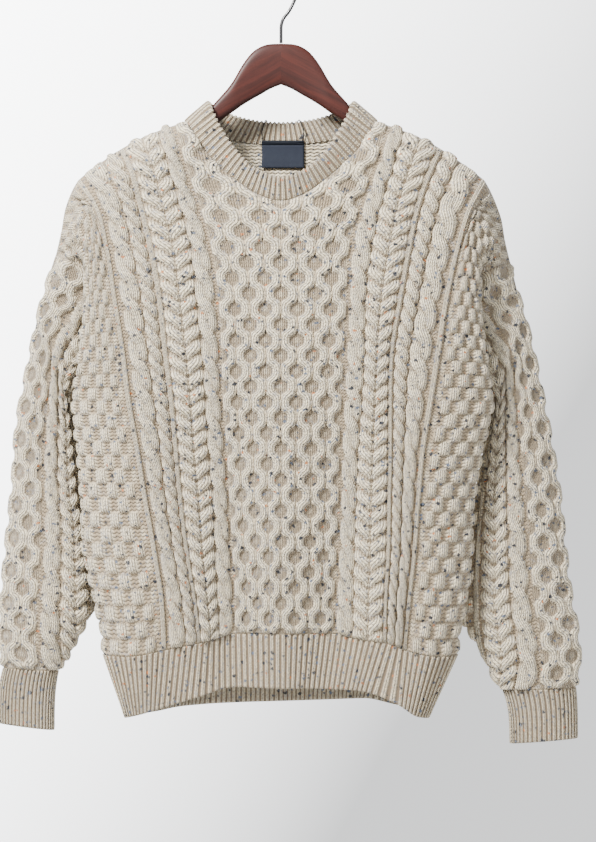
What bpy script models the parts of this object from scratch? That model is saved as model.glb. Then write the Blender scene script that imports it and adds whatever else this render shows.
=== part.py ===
"""A cable-knit crewneck sweater with drop shoulders, hanging on a two-arm wooden hanger.

Metres, +Z up, the front faces -Y. The origin is the inner top of the hook, where the rod carries it.
Every knitted piece is a wall on a surface that is worked out from short tables in millimetres: "s" is the
distance from the middle of the panel along the knitting, "c" the height above the hem rib.
"""

import math

import bpy
import numpy as np

MM = 0.001
SHARP_DEGREES = 55

# Walls and gaps, in millimetres
WALL = 2.4
SEAM_TRIM = 0.17
ARMHOLE_TRIM = 0.64
ARMPIT_EASE = 3.0
CABLE_RELIEF = 2.6
RIB_RELIEF = 1.5

# Knitting chart of one half of a panel, in millimetres from its middle line
CELL = 8.55
NECK_SIDE_S = 7 * CELL
HONEYCOMB_S = 8 * CELL
PLAIT_START_S = 97.0
INNER_RIB_S = 138.0
OUTER_RIB_S = 193.0
SIDE_S = 292.5
ROPE_S = (75.0, 86.0)
PLAIT_S = (106.0, 115.5, 124.5, 133.5)
SMALL_ROPE_S = (143.0, 151.0)
BIG_ROPE_S = (160.0, 173.0)
RIB_FLANKS_S = (186.0, 199.0)
BASKET_S = (222.0, 245.0, 268.0)
INNER_COLUMNS_S = [CELL * k for k in (0, 1, 3, 5, 6, 7)]
INNER_COLUMNS_S += [86.0, 115.5, 143.0, 173.0, 199.0, *BASKET_S, SIDE_S]

# Heights, in millimetres
RIB_TOP_Z = -730.0
ARMPIT_C = 260.0
ROWS_BELOW_ARMPIT = 15
ROWS_ABOVE_ARMPIT = 13
ROLL_ROWS = (0.45, 0.8, 1.0)
INNER_ROWS = [0, 5, 10, 15, 19, 23]
FRONT_NECK_DROP = 86.0
BACK_NECK_DROP = 21.0
NECK_SIDE_C = 571.0
FRONT_NECK_Y = -31.0
BACK_NECK_Y = 30.0
SHOULDER_ROLL = 42.0
NECK_ROUNDNESS = 3.0

# Front columns across the body: height, then the place of the honeycomb's edge, the plait's edge, the
# inner twisted rib, the outer twisted rib and the side fold, left and right of the middle.
FRONT_COLUMNS = (
    # z, honey_l, plait_l, inner_l, outer_l, fold_l, honey_r, plait_r, inner_r, outer_r, fold_r
    (-739, 50, 68, 90, 129, 198, 57, 80, 115, 137, 197),
    (-694, 50, 71, 95, 131, 207, 58, 81, 116, 141, 206),
    (-638, 53, 74, 104, 139, 219, 61, 82, 119, 147, 212),
    (-582, 56, 76, 111, 149, 222, 63, 84, 120, 151, 215),
    (-526, 59, 81, 116, 158, 227, 64, 86, 121, 156, 224),
    (-470, 63, 84, 121, 168, 233, 66, 90, 121, 165, 236),
    (-414, 65, 88, 128, 175, 227, 69, 93, 123, 174, 226),
    (-358, 68, 94, 134, 184, 216, 72, 94, 132, 183, 214),
    (-302, 76, 100, 144, 193, 212, 75, 101, 142, 196, 210),
    (-252, 90, 113, 156, 207, 215, 88, 112, 153, 212, 215),
    (-218, 102, 123, 165, 231, 234, 100, 123, 165, 231, 234),
    (-190, 110, 131, 178, 248, 250, 110, 131, 178, 248, 250),
    (-155, 119, 142, 198, 262, 265, 119, 142, 198, 265, 268),
)

# Depth of the front at its middle, at the honeycomb's edge, the inner rib and the outer rib
FRONT_DEPTHS = (
    # z, middle, honeycomb_edge, inner_rib, outer_rib
    (-739, -40, -31, -40, -40),
    (-694, -42, -32, -42, -44),
    (-638, -44, -33, -43, -46),
    (-582, -45, -35, -43, -47),
    (-526, -46, -38, -44, -48),
    (-470, -47, -42, -45, -48),
    (-414, -46, -44, -46, -47),
    (-358, -44, -44, -45, -45),
    (-302, -40, -41, -42, -41),
    (-252, -36, -37, -38, -37),
    (-200, -34, -35, -36, -36),
)

# The back hangs flatter and narrower: depths at the same columns
BACK_DEPTHS = (
    # z, middle, honeycomb_edge, inner_rib, outer_rib
    (-739, 36, 30, 37, 33),
    (-638, 38, 31, 40, 35),
    (-526, 40, 34, 41, 36),
    (-470, 41, 36, 41, 38),
    (-358, 40, 38, 40, 42),
    (-302, 37, 37, 38, 40),
    (-252, 35, 35, 36, 38),
    (-200, 33, 33, 34, 36),
)
BACK_NARROWING = 0.93

# The knitting's top edge beside the neck, as height above the hem rib
SHOULDER_LINE = (
    # s, c
    (NECK_SIDE_S, NECK_SIDE_C),
    (HONEYCOMB_S, 568),
    (PLAIT_START_S, 561),
    (INNER_RIB_S, 541),
    (OUTER_RIB_S, 506),
)

# Sag of the hem rib's top edge towards the sides
RIB_TOP_SAG = ((0, 0), (70, 0), (97, 5), (138, 10), (193, 18), (235, 25), (262, 24), (292.5, 20))
SAG_FADE_C = 190.0

# The shoulder cap of the front, from the armpit (0) to the shoulder seam (1): a point on the basket
# pattern's first third, on its second third, and on the armhole seam
CAP_FRONT = (
    # t, third_x, third_y, third_z, two_thirds_x, two_thirds_y, two_thirds_z, seam_x, seam_y, seam_z
    (0.00, 203, -40, -470, 234, -20, -470, 223, 10, -466),
    (0.25, 204, -42, -411, 226, -28, -416, 213, 5, -428),
    (0.50, 208, -42, -349, 220, -28, -361, 208, -2, -380),
    (0.65, 210, -41, -308, 220, -31, -324, 209, -8, -354),
    (0.75, 213, -36, -281, 228, -30, -304, 215, -13, -336),
    (0.87, 222, -27, -262, 236, -24, -292, 237, -16, -323),
    (1.00, 245, -1, -262, 251, 1, -292, 257, 4, -316),
)

# The shoulder cap of the back
CAP_BACK = (
    # t, third_x, third_y, third_z, two_thirds_x, two_thirds_y, two_thirds_z, seam_x, seam_y, seam_z
    (0.00, 182, 33, -470, 208, 24, -469, 223, 10, -466),
    (0.25, 188, 38, -411, 204, 37, -419, 213, 29, -428),
    (0.50, 195, 42, -349, 206, 43, -362, 210, 36, -380),
    (0.65, 203, 43, -308, 215, 44, -324, 214, 39, -352),
    (0.75, 212, 40, -281, 226, 41, -302, 221, 38, -335),
    (0.87, 222, 31, -262, 237, 33, -291, 240, 29, -324),
    (1.00, 245, -1, -262, 251, 1, -292, 257, 4, -316),
)
LEFT_CAP_LIFT = 9.0
LEFT_CAP_NARROWING = 0.982

# Below the armpit the side turns back: how far the two points and the side seam lie from the fold
SIDE_FRONT = ((0.50, -41.0), (1.5, -19.0), (13.0, 9.0))
SIDE_BACK = ((0.40, 32.0), (24.0, 24.0), (13.0, 9.0))

# Hem: s, depth of the front and the back, then the height of the front's and the back's lower edge
HEM = (
    # s, front_x, front_y, front_z, back_x, back_y, back_z
    (-292.5, -163, 8, -820, -163, 8, -820),
    (-259, -173, -18, -824, -158, 22, -824),
    (-226, -158, -33, -820, -140, 29, -822),
    (-193, -135, -36, -813, -121, 31, -818),
    (-138, -96, -36, -801, -92, 33, -815),
    (-70, -50, -31, -789, -49, 29, -812),
    (0, 0, -38, -790, 0, 33, -811),
    (70, 50, -31, -791, 50, 30, -809),
    (138, 98, -36, -795, 94, 34, -808),
    (193, 131, -36, -809, 122, 31, -813),
    (226, 149, -33, -821, 139, 28, -817),
    (259, 164, -18, -824, 152, 21, -821),
    (292.5, 155, 8, -818, 155, 8, -818),
)

# Sleeves: the outer edge from the shoulder tip and the inner edge from the armpit, down to the cuff
RIGHT_OUTER = (
    # x, y, z
    (257, 4, -316), (266, 10, -352), (279, 14, -401), (294, 17, -470), (307, 19, -540),
    (314, 20, -587), (319, 20, -638), (326, 20, -694), (334, 20, -739), (335, 20, -770), (331, 20, -794),
)
RIGHT_INNER = (
    (223, 10, -466), (234, 22, -498), (226, 28, -545), (216, 27, -600), (207, 24, -660),
    (204, 22, -718), (211, 20, -745), (228, 20, -774), (240, 20, -797),
)
LEFT_OUTER = (
    (-252.4, 4, -307), (-263, 10, -340), (-272, 13, -377), (-287, 16, -448), (-296, 18, -494),
    (-301, 20, -560), (-308, 20, -628), (-314, 20, -700), (-316, 20, -745), (-312, 20, -772),
)
LEFT_INNER = (
    (-219, 10, -466), (-231, 23, -498), (-224, 28, -545), (-216, 27, -600), (-209, 24, -655),
    (-210, 22, -700), (-222, 20, -724), (-237, 20, -752), (-247, 20, -775),
)
SLEEVE_DEPTH = ((0.0, 17.0), (0.12, 18.0), (0.35, 20.0), (0.75, 21.0), (0.92, 20.0), (1.0, 17.0))
SLEEVE_ROWS = 24
ARMHOLE_BLEND = 0.12

# Cuffs: the outer and the inner corner of the lower edge
CUFF_OUTER = {"left": (-318, 20, -834), "right": (333, 20, -851)}
CUFF_INNER = {"left": (-257, 20, -842), "right": (259, 20, -857)}
CUFF_DEPTH = 13.0
CUFF_RIBS = 24
CUFF_WALL = 2.2

# Neckband: the upper edge, seen from above an oval, and how far it sinks at the front and the back
BAND_HALF_WIDTH = 80.0
BAND_FRONT_Y = -35.0
BAND_BACK_Y = 33.0
BAND_FRONT_Z = -219.0
BAND_SIDE_Z = -137.0
BAND_BACK_Z = -156.5
BAND_RIBS = 84
BAND_THICKNESS = 5.0
BAND_RIB_RELIEF = 0.9
BAND_SEAM_LIFT = 0.8
HEM_RIBS = 44

# Label inside the back of the neck, and the cord loop that is sewn on its upper corners
LABEL_X = (-22.0, 26.0)
LABEL_Z = (-208.0, -177.0)
LABEL_FOLD_HEIGHT = 5.0
LABEL_CLEARANCE = 1.1
LABEL_THICKNESS = 0.9
LOOP_DIAMETER = 1.3
LOOP_POINTS = (
    (-21.0, 25.7, -176.7), (-21.6, 24.8, -168.0), (-19.8, 26.4, -160.0), (-17.4, 30.5, -153.6),
    (-16.0, 36.0, -154.8), (-14.6, 39.0, -160.5), (-11.5, 40.2, -167.5), (-5.0, 40.9, -172.6),
    (2.0, 41.0, -173.8), (9.0, 40.9, -172.4), (14.8, 40.2, -167.2), (17.4, 38.9, -160.5),
    (18.6, 36.0, -154.6), (20.4, 30.5, -153.4), (23.2, 26.4, -160.0), (25.4, 24.8, -168.0),
    (25.0, 25.6, -176.7),
)

# Hanger: upper and lower edge of one arm, and half its thickness
HANGER_ARM = (
    # x, upper_z, lower_z, half_thickness
    (0.2, -71.0, -117.0, 7.0),
    (12.0, -71.6, -119.0, 7.0),
    (22.0, -75.0, -123.0, 7.2),
    (33.0, -84.5, -131.0, 7.6),
    (43.0, -101.0, -141.5, 8.2),
    (54.0, -119.0, -150.0, 9.0),
    (76.0, -142.5, -168.0, 8.5),
    (90.0, -158.0, -178.0, 8.5),
    (104.0, -171.0, -187.0, 8.5),
    (135.0, -179.0, -196.0, 10.5),
    (165.0, -188.5, -206.5, 12.0),
    (190.0, -203.5, -220.0, 12.0),
    (209.0, -216.0, -230.0, 10.5),
    (217.0, -223.5, -231.5, 6.5),
)
HOOK_WIRE = 3.8
HOOK_RADIUS = 17.0
HOOK_STEM = ((0.0, -70.6), (0.0, -55.0), (2.5, -43.7), (8.0, -36.5))

# Colours, roughness
WOOL = (0.78, 0.74, 0.65, 1.0)
MAHOGANY = (0.12, 0.035, 0.022, 1.0)
BLACK_WIRE = (0.02, 0.02, 0.02, 1.0)
NAVY = (0.03, 0.04, 0.07, 1.0)


def smooth(x, knots, values):
    """Cubic curve through table rows that doesn't swing past them (slopes limited at each row)."""
    knots = np.asarray(knots, float)
    values = np.asarray(values, float)
    x = np.clip(np.asarray(x, float), knots[0], knots[-1])
    step = np.diff(knots)
    shape = (-1,) + (1,) * (values.ndim - 1)
    slope = np.diff(values, axis=0) / step.reshape(shape)
    before, after = slope[:-1], slope[1:]
    w_before, w_after = step[1:].reshape(shape), step[:-1].reshape(shape)
    inner = (w_before * before + w_after * after) / (w_before + w_after)
    limit = 3 * np.minimum(np.abs(before), np.abs(after)) * (before * after > 0)
    inner = np.clip(inner, -limit, limit)
    tangent = np.concatenate([slope[:1], inner, slope[-1:]])
    i = np.clip(np.searchsorted(knots, x, side="right") - 1, 0, len(knots) - 2)
    width = step[i]
    u = ((x - knots[i]) / width).reshape(x.shape + (1,) * (values.ndim - 1))
    width = width.reshape(u.shape)
    return (
        values[i] * (1 + 2 * u) * (1 - u) ** 2
        + tangent[i] * width * u * (1 - u) ** 2
        + values[i + 1] * u * u * (3 - 2 * u)
        - tangent[i + 1] * width * u * u * (1 - u)
    )


def along(points, fractions):
    """Points at these fractions of a route's length, on a smooth curve through the route's points."""
    points = np.asarray(points, float)
    reach = np.concatenate([[0], np.cumsum(np.linalg.norm(np.diff(points, axis=0), axis=1))])
    return smooth(np.asarray(fractions) * reach[-1], reach, points)


def top_height(s, neck_drop):
    """Height of the panel's upper edge above the hem rib: a round neckline, then the shoulder line."""
    r = np.clip(np.abs(s) / NECK_SIDE_S, 0, 1)
    neckline = NECK_SIDE_C - neck_drop * (1 - r**2) ** 0.87
    rows = np.array(SHOULDER_LINE, float)
    shoulder = smooth(np.abs(s), rows[:, 0], rows[:, 1])
    return np.where(np.abs(s) < NECK_SIDE_S, neckline, shoulder)


def body_points(s, share, front):
    """Points of the panel inside the outer ribs, where the rows are level.

    share runs from 0 at the hem rib over 1 at the armpit to 2 at the neckline or shoulder.
    """
    neck_drop = FRONT_NECK_DROP if front else BACK_NECK_DROP
    neck_y = FRONT_NECK_Y if front else BACK_NECK_Y
    top = top_height(s, neck_drop)
    c = np.where(share < 1, share * ARMPIT_C, ARMPIT_C + (share - 1) * (top - ARMPIT_C))
    sag_rows = np.array(RIB_TOP_SAG, float)
    sag = smooth(np.abs(s), sag_rows[:, 0], sag_rows[:, 1])
    z = RIB_TOP_Z + c - sag * np.clip(1 - c / SAG_FADE_C, 0, 1) ** 2

    columns = np.array(FRONT_COLUMNS, float)
    at = smooth(z, columns[:, 0], columns[:, 1:])
    knots = (0, HONEYCOMB_S, PLAIT_START_S, INNER_RIB_S, OUTER_RIB_S)
    x = np.empty_like(z)
    for side, first in ((-1, 0), (1, 5)):
        here = (s < 0) if side < 0 else (s >= 0)
        places = at[here][:, first : first + 4]
        x[here] = side * row_curve(np.abs(s[here]), knots, places)
    if not front:
        x = x * (1 - (1 - BACK_NARROWING) * np.clip(2 - share, 0, 1))

    depths = np.array(FRONT_DEPTHS if front else BACK_DEPTHS, float)
    deep = smooth(z, depths[:, 0], depths[:, 1:])
    knots = (0, HONEYCOMB_S, INNER_RIB_S, OUTER_RIB_S)
    y = row_curve(np.abs(s), knots, deep[:, 1:], deep[:, 0])
    r = np.clip(np.abs(s) / NECK_SIDE_S, 0, 1)
    edge_y = neck_y * (1 - r**NECK_ROUNDNESS) ** (1 / NECK_ROUNDNESS)
    below = np.clip((top - c) / SHOULDER_ROLL, 0, 1)
    rolled = np.sqrt(1 - (1 - below) ** 2)
    y = edge_y + (y - edge_y) * rolled
    return np.stack([x, y, z], axis=1)


def row_curve(s, knots, places, start=None):
    """Value at s of each row's own smooth curve through its places at the knots."""
    start = np.zeros(len(s)) if start is None else start
    table = np.column_stack([start, places])
    knots = np.asarray(knots, float)
    s = np.clip(s, knots[0], knots[-1])
    step = np.diff(knots)
    slope = np.diff(table, axis=1) / step
    inner = (slope[:, :-1] * step[1:] + slope[:, 1:] * step[:-1]) / (step[1:] + step[:-1])
    tangent = np.column_stack([slope[:, 0], inner, slope[:, -1]])
    if places.shape[1] == 3:
        tangent[:, 0] = 0
    i = np.clip(np.searchsorted(knots, s, side="right") - 1, 0, len(knots) - 2)
    rows = np.arange(len(s))
    width = step[i]
    u = (s - knots[i]) / width
    return (
        table[rows, i] * (1 + 2 * u) * (1 - u) ** 2
        + tangent[rows, i] * width * u * (1 - u) ** 2
        + table[rows, i + 1] * u * u * (3 - 2 * u)
        - tangent[rows, i + 1] * width * u * u * (1 - u)
    )


def side_columns(share, side, front):
    """Three columns outside the outer rib: two on the basket pattern and the side or armhole seam."""
    cap = np.array(CAP_FRONT if front else CAP_BACK, float)
    t = np.clip(share - 1, 0, 1)
    upper = smooth(t, cap[:, 0], cap[:, 1:]).reshape(-1, 3, 3)
    if side < 0:
        upper[:, :, 0] *= LEFT_CAP_NARROWING
        upper[:, :, 2] += LEFT_CAP_LIFT * t[:, None] ** 2
    c = np.clip(share, 0, 1) * ARMPIT_C
    sag_rows = np.array(RIB_TOP_SAG, float)
    columns = np.array(FRONT_COLUMNS, float)
    first = 1 if side < 0 else 6
    lower = np.empty_like(upper)
    places = (SIDE_FRONT if front else SIDE_BACK)
    stations = (226.0, 259.0, SIDE_S)
    for k, (s, (inset, y)) in enumerate(zip(stations, places)):
        sag = smooth(np.full(len(c), s), sag_rows[:, 0], sag_rows[:, 1])
        z = RIB_TOP_Z + c - sag * np.clip(1 - c / SAG_FADE_C, 0, 1) ** 2
        at = smooth(z, columns[:, 0], columns[:, first : first + 5])
        outer, fold = at[:, 3], at[:, 4]
        x = outer + inset * (fold - outer) if k == 0 else fold - inset
        lower[:, k] = np.stack([x, np.full(len(c), y), z], axis=1)
    gap = upper_at_armpit(cap, side) - lower_at_armpit(places, side)
    lower += gap * np.clip(share, 0, 1)[:, None, None] ** 3
    below = (share < 1)[:, None, None]
    points = np.where(below, lower, upper)
    if side > 0:
        return points
    mirrored = points.copy()
    mirrored[:, :, 0] = -points[:, :, 0]
    return mirrored


def upper_at_armpit(cap, side):
    points = cap[0, 1:].reshape(3, 3).copy()
    if side < 0:
        points[:, 0] *= LEFT_CAP_NARROWING
    return points


def lower_at_armpit(places, side):
    columns = np.array(FRONT_COLUMNS, float)
    first = 1 if side < 0 else 6
    z = RIB_TOP_Z + ARMPIT_C
    at = smooth(np.array([z]), columns[:, 0], columns[:, first : first + 5])[0]
    xs = (at[3] + places[0][0] * (at[4] - at[3]), at[4] - places[1][0], at[4] - places[2][0])
    return np.array([(x, y, z) for x, (_, y) in zip(xs, places)])


def panel(columns, rows, front):
    """Grid of points of the front or the back, (rows, columns, 3), in millimetres."""
    grid = np.empty((len(rows), len(columns), 3))
    inside = np.abs(columns) <= OUTER_RIB_S
    for j, share in enumerate(rows):
        grid[j, inside] = body_points(columns[inside], np.full(inside.sum(), share), front)
    for side in (-1, 1):
        outside = (columns * side) > OUTER_RIB_S
        if not outside.any():
            continue
        anchors = np.array([INNER_RIB_S, OUTER_RIB_S]) * side
        near = np.stack([body_points(np.full(len(rows), s), rows, front) for s in anchors], axis=1)
        guide = np.concatenate([near, side_columns(rows, side, front)], axis=1)
        knots = np.array([INNER_RIB_S, OUTER_RIB_S, 226.0, 259.0, SIDE_S])
        across = catmull(np.abs(columns[outside]), knots, guide.transpose(1, 0, 2))
        grid[:, outside] = across.transpose(1, 0, 2)
    return grid


def catmull(x, knots, values):
    """Cubic curve through the knots' values with averaged slopes, for folds that must stay round."""
    step = np.diff(knots)
    shape = (-1,) + (1,) * (values.ndim - 1)
    slope = np.diff(values, axis=0) / step.reshape(shape)
    w_before, w_after = step[1:].reshape(shape), step[:-1].reshape(shape)
    inner = (w_before * slope[:-1] + w_after * slope[1:]) / (w_before + w_after)
    tangent = np.concatenate([slope[:1], inner, slope[-1:]])
    i = np.clip(np.searchsorted(knots, x, side="right") - 1, 0, len(knots) - 2)
    width = step[i].reshape(shape)
    u = ((x - knots[i]) / step[i]).reshape(shape)
    return (
        values[i] * (1 + 2 * u) * (1 - u) ** 2
        + tangent[i] * width * u * (1 - u) ** 2
        + values[i + 1] * u * u * (3 - 2 * u)
        - tangent[i + 1] * width * u * u * (1 - u)
    )


def grid_normals(grid, closed=False):
    """Unit normals of a grid of points; the grid's first axis runs up and its second to the right."""
    if closed:
        around = np.roll(grid, -1, axis=1) - np.roll(grid, 1, axis=1)
    else:
        around = np.gradient(grid, axis=1)
    normal = np.cross(around, np.gradient(grid, axis=0))
    return normal / np.linalg.norm(normal, axis=2, keepdims=True)


def unit(vectors):
    return vectors / np.linalg.norm(vectors, axis=-1, keepdims=True)


def quads(numbers, flip=False, height=None):
    """Two triangles for each cell of a grid of point numbers, split along the higher diagonal."""
    a, b = numbers[:-1, :-1], numbers[:-1, 1:]
    c, d = numbers[1:, 1:], numbers[1:, :-1]
    first = np.stack([np.stack([a, b, c], axis=2), np.stack([a, c, d], axis=2)])
    if height is not None:
        rising = height[:-1, :-1] + height[1:, 1:] < height[:-1, 1:] + height[1:, :-1]
        other = np.stack([np.stack([a, b, d], axis=2), np.stack([b, c, d], axis=2)])
        first = np.where(rising[None, :, :, None], other, first)
    faces = first.reshape(-1, 3)
    return [tuple(face) for face in (faces[:, ::-1] if flip else faces)]


def inner_faces(numbers, row_picks, column_picks, ring):
    """Triangles of a plain inner wall: coarse cells inside, all of the fine points along its edges."""
    faces = []
    last_row, last_column = numbers.shape[0] - 1, numbers.shape[1] - 1
    for low, high in zip(row_picks[:-1], row_picks[1:]):
        for left, right in zip(column_picks[:-1], column_picks[1:]):
            foot = range(left, right) if low == 0 else (left,)
            side = range(low, high) if right == last_column and not ring else (low,)
            head = range(right, left, -1) if high == last_row else (right,)
            back = range(high, low, -1) if left == 0 and not ring else (high,)
            loop = [numbers[low, i] for i in foot] + [numbers[j, right] for j in side]
            loop += [numbers[high, i] for i in head] + [numbers[j, left] for j in back]
            start = fan_corner(
                len(foot), len(side), len(head),
                inside_below=low > 0,
                inside_above=high < last_row,
                inside_left=ring or left > 0,
                inside_right=ring or right < last_column,
            )
            loop = loop[start:] + loop[:start]
            faces += [(loop[0], loop[k + 1], loop[k]) for k in range(1, len(loop) - 1)]
    return faces


def fan_corner(foot, side, head, inside_below, inside_above, inside_left, inside_right):
    """Place in a cell's outline of a corner that lies inside the wall, so that its fan stays flat.

    foot, side and head are the numbers of points along the cell's lower, right and upper edge.
    """
    if inside_below and inside_left:
        return 0
    if inside_below and inside_right:
        return foot
    if inside_above and inside_right:
        return foot + side
    return foot + side + head


def material(name, colour, roughness, metallic=0.0):
    made = bpy.data.materials.new(name)
    made.use_nodes = True
    shader = made.node_tree.nodes["Principled BSDF"]
    shader.inputs["Base Color"].default_value = colour
    shader.inputs["Roughness"].default_value = roughness
    shader.inputs["Metallic"].default_value = metallic
    return made


def add_mesh(name, points, faces, finish):
    mesh = bpy.data.meshes.new(name)
    mesh.from_pydata([tuple(point) for point in np.asarray(points) * MM], [], faces)
    mesh.materials.append(finish)
    mesh.shade_smooth()
    mesh.set_sharp_from_angle(angle=math.radians(SHARP_DEGREES))
    made = bpy.data.objects.new(name, mesh)
    bpy.context.scene.collection.objects.link(made)
    return made


def wall(name, base, normals, relief, column_picks, row_picks, finish, thickness=WALL, ring=False):
    """Closed wall: a fine outer grid raised by the relief, and a plain inner grid at some of its points.

    A ring's columns close on themselves, so its wall has only a lower and an upper edge.
    """
    rows, columns = base.shape[:2]
    outer = base + normals * relief[:, :, None]
    inner = base - normals * thickness
    fine = np.arange(rows * columns).reshape(rows, columns)
    plain = fine + rows * columns
    picks = list(column_picks)
    height = relief
    if ring:
        fine = np.column_stack([fine, fine[:, 0]])
        plain = np.column_stack([plain, plain[:, 0]])
        height = np.column_stack([relief, relief[:, 0]])
        picks.append(columns)
    faces = quads(fine, False, height)
    faces += inner_faces(plain, list(row_picks), picks, ring)
    faces += quads(np.stack([plain[0], fine[0]]))
    faces += quads(np.stack([fine[-1], plain[-1]]))
    if not ring:
        faces += quads(np.stack([fine[:, 0], plain[:, 0]]))
        faces += quads(np.stack([plain[:, -1], fine[:, -1]]))
    points = np.concatenate([outer.reshape(-1, 3), inner.reshape(-1, 3)])
    used = np.unique(faces)
    renumber = np.zeros(len(points), int)
    renumber[used] = np.arange(len(used))
    faces = [tuple(face) for face in renumber[np.array(faces)]]
    return add_mesh(name, points[used], faces, finish)


def trimmed(grid, edge, amount):
    """Moves one edge of a grid this far towards the next row or column, to leave the seam's gap.

    amount is one number, or one for each point of the edge.
    """
    made = grid.copy()
    amount = np.reshape(amount, (-1, 1))
    if edge == "bottom":
        made[0] += unit(grid[1] - grid[0]) * amount
    elif edge == "top":
        made[-1] += unit(grid[-2] - grid[-1]) * amount
    elif edge == "left":
        made[:, 0] += unit(grid[:, 1] - grid[:, 0]) * amount
    else:
        made[:, -1] += unit(grid[:, -2] - grid[:, -1]) * amount
    return made


def panel_columns():
    half = [CELL * k for k in range(9)]
    half += [*ROPE_S, PLAIT_START_S, *PLAIT_S, INNER_RIB_S, *SMALL_ROPE_S, *BIG_ROPE_S]
    half += [RIB_FLANKS_S[0], OUTER_RIB_S, RIB_FLANKS_S[1], *BASKET_S, SIDE_S]
    return np.array([-s for s in half[:0:-1]] + half)


def panel_relief(columns, row_count):
    """Raised height of each point: the honeycomb's crossings, the ropes, the plaits, ribs and blocks."""
    relief = np.zeros((row_count, len(columns)))
    for i, signed in enumerate(columns):
        s = abs(signed)
        for j in range(row_count):
            relief[j, i] = CABLE_RELIEF * raised(s, j)
    relief[0] = relief[-1] = 0
    relief[-2] *= 0.3
    relief[-3] *= 0.7
    relief[:, 0] = relief[:, -1] = 0
    relief[ROWS_BELOW_ARMPIT:, [1, -2]] *= 0.3
    return relief


def raised(s, row):
    """Share of the cable relief at a column and a row: rows are half a honeycomb cell apart."""
    even = row % 2 == 0
    if s <= HONEYCOMB_S + 0.1:
        cell = round(s / CELL)
        if cell % 2:
            return 0.75
        return 1.0 if (cell // 2 + row) % 2 else 0.0
    if s == ROPE_S[1] or s == BIG_ROPE_S[1]:
        return 1.0 if even else 0.7
    if s in (PLAIT_S[0], PLAIT_S[2]):
        return 0.9
    if s == PLAIT_S[1]:
        return 0.4
    if s in (INNER_RIB_S, OUTER_RIB_S):
        return 0.8
    if s == SMALL_ROPE_S[1]:
        return 0.85
    if s in BASKET_S:
        return 0.55 if (BASKET_S.index(s) + row) % 2 else 0.1
    return 0.0


def sleeve_grid(side, armhole):
    """Rings of a sleeve from the armhole to the cuff, underarm first, then the front and the back."""
    outer = along(RIGHT_OUTER if side == "right" else LEFT_OUTER, np.linspace(0, 1, SLEEVE_ROWS + 1))
    inner = along(RIGHT_INNER if side == "right" else LEFT_INNER, np.linspace(0, 1, SLEEVE_ROWS + 1))
    depth_rows = np.array(SLEEVE_DEPTH)
    count = len(armhole)
    turn = 2 * np.pi * np.arange(count) / count
    outward = np.array([0.0, 1.0, 0.0])
    top, foot = armhole[count // 2], armhole[0]
    axis = top - foot
    relative = armhole - foot
    place = relative @ axis / (axis @ axis)
    bulge = relative - place[:, None] * axis
    rings = []
    for k in range(SLEEVE_ROWS + 1):
        b = k / SLEEVE_ROWS
        blend = min(b / ARMHOLE_BLEND, 1.0)
        blend = blend * blend * (3 - 2 * blend)
        depth = smooth(np.array([b]), depth_rows[:, 0], depth_rows[:, 1])[0]
        oval_place = 0.5 - 0.5 * np.cos(turn)
        oval_side = -np.sign(np.sin(turn)) * np.abs(np.sin(turn)) ** 0.8 * depth
        mixed = place * (1 - blend) + oval_place * blend
        ring = inner[k] + mixed[:, None] * (outer[k] - inner[k])
        ring = ring + bulge * (1 - blend) + oval_side[:, None] * outward * blend
        rings.append(ring)
    return np.array(rings)[::-1]


def armhole_loop(front_edge, back_edge):
    """The armhole's points, from the armpit up the front's edge and down the back's."""
    return np.concatenate([front_edge, back_edge[-2:0:-1]])


def sleeve_relief(row_count, column_count):
    """Honeycomb round the outer arm, a rope and a plait beside it, and blocks under the arm."""
    relief = np.zeros((row_count, column_count))
    middle = column_count // 2
    for i in range(column_count):
        away = abs(i - middle)
        for j in range(row_count):
            relief[j, i] = CABLE_RELIEF * sleeve_raised(away, j)
    relief[0] = relief[-1] = relief[-2] = 0
    relief[-3] *= 0.6
    return relief


def sleeve_raised(away, row):
    if away <= 4:
        if away % 2:
            return 0.75
        return 1.0 if (away // 2 + row) % 2 else 0.0
    by_column = {6: 0.9, 8: 0.9, 9: 0.4, 10: 0.9, 12: 0.7}
    return by_column.get(away, 0.0) * (1.0 if row % 2 else 0.8)


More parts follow.
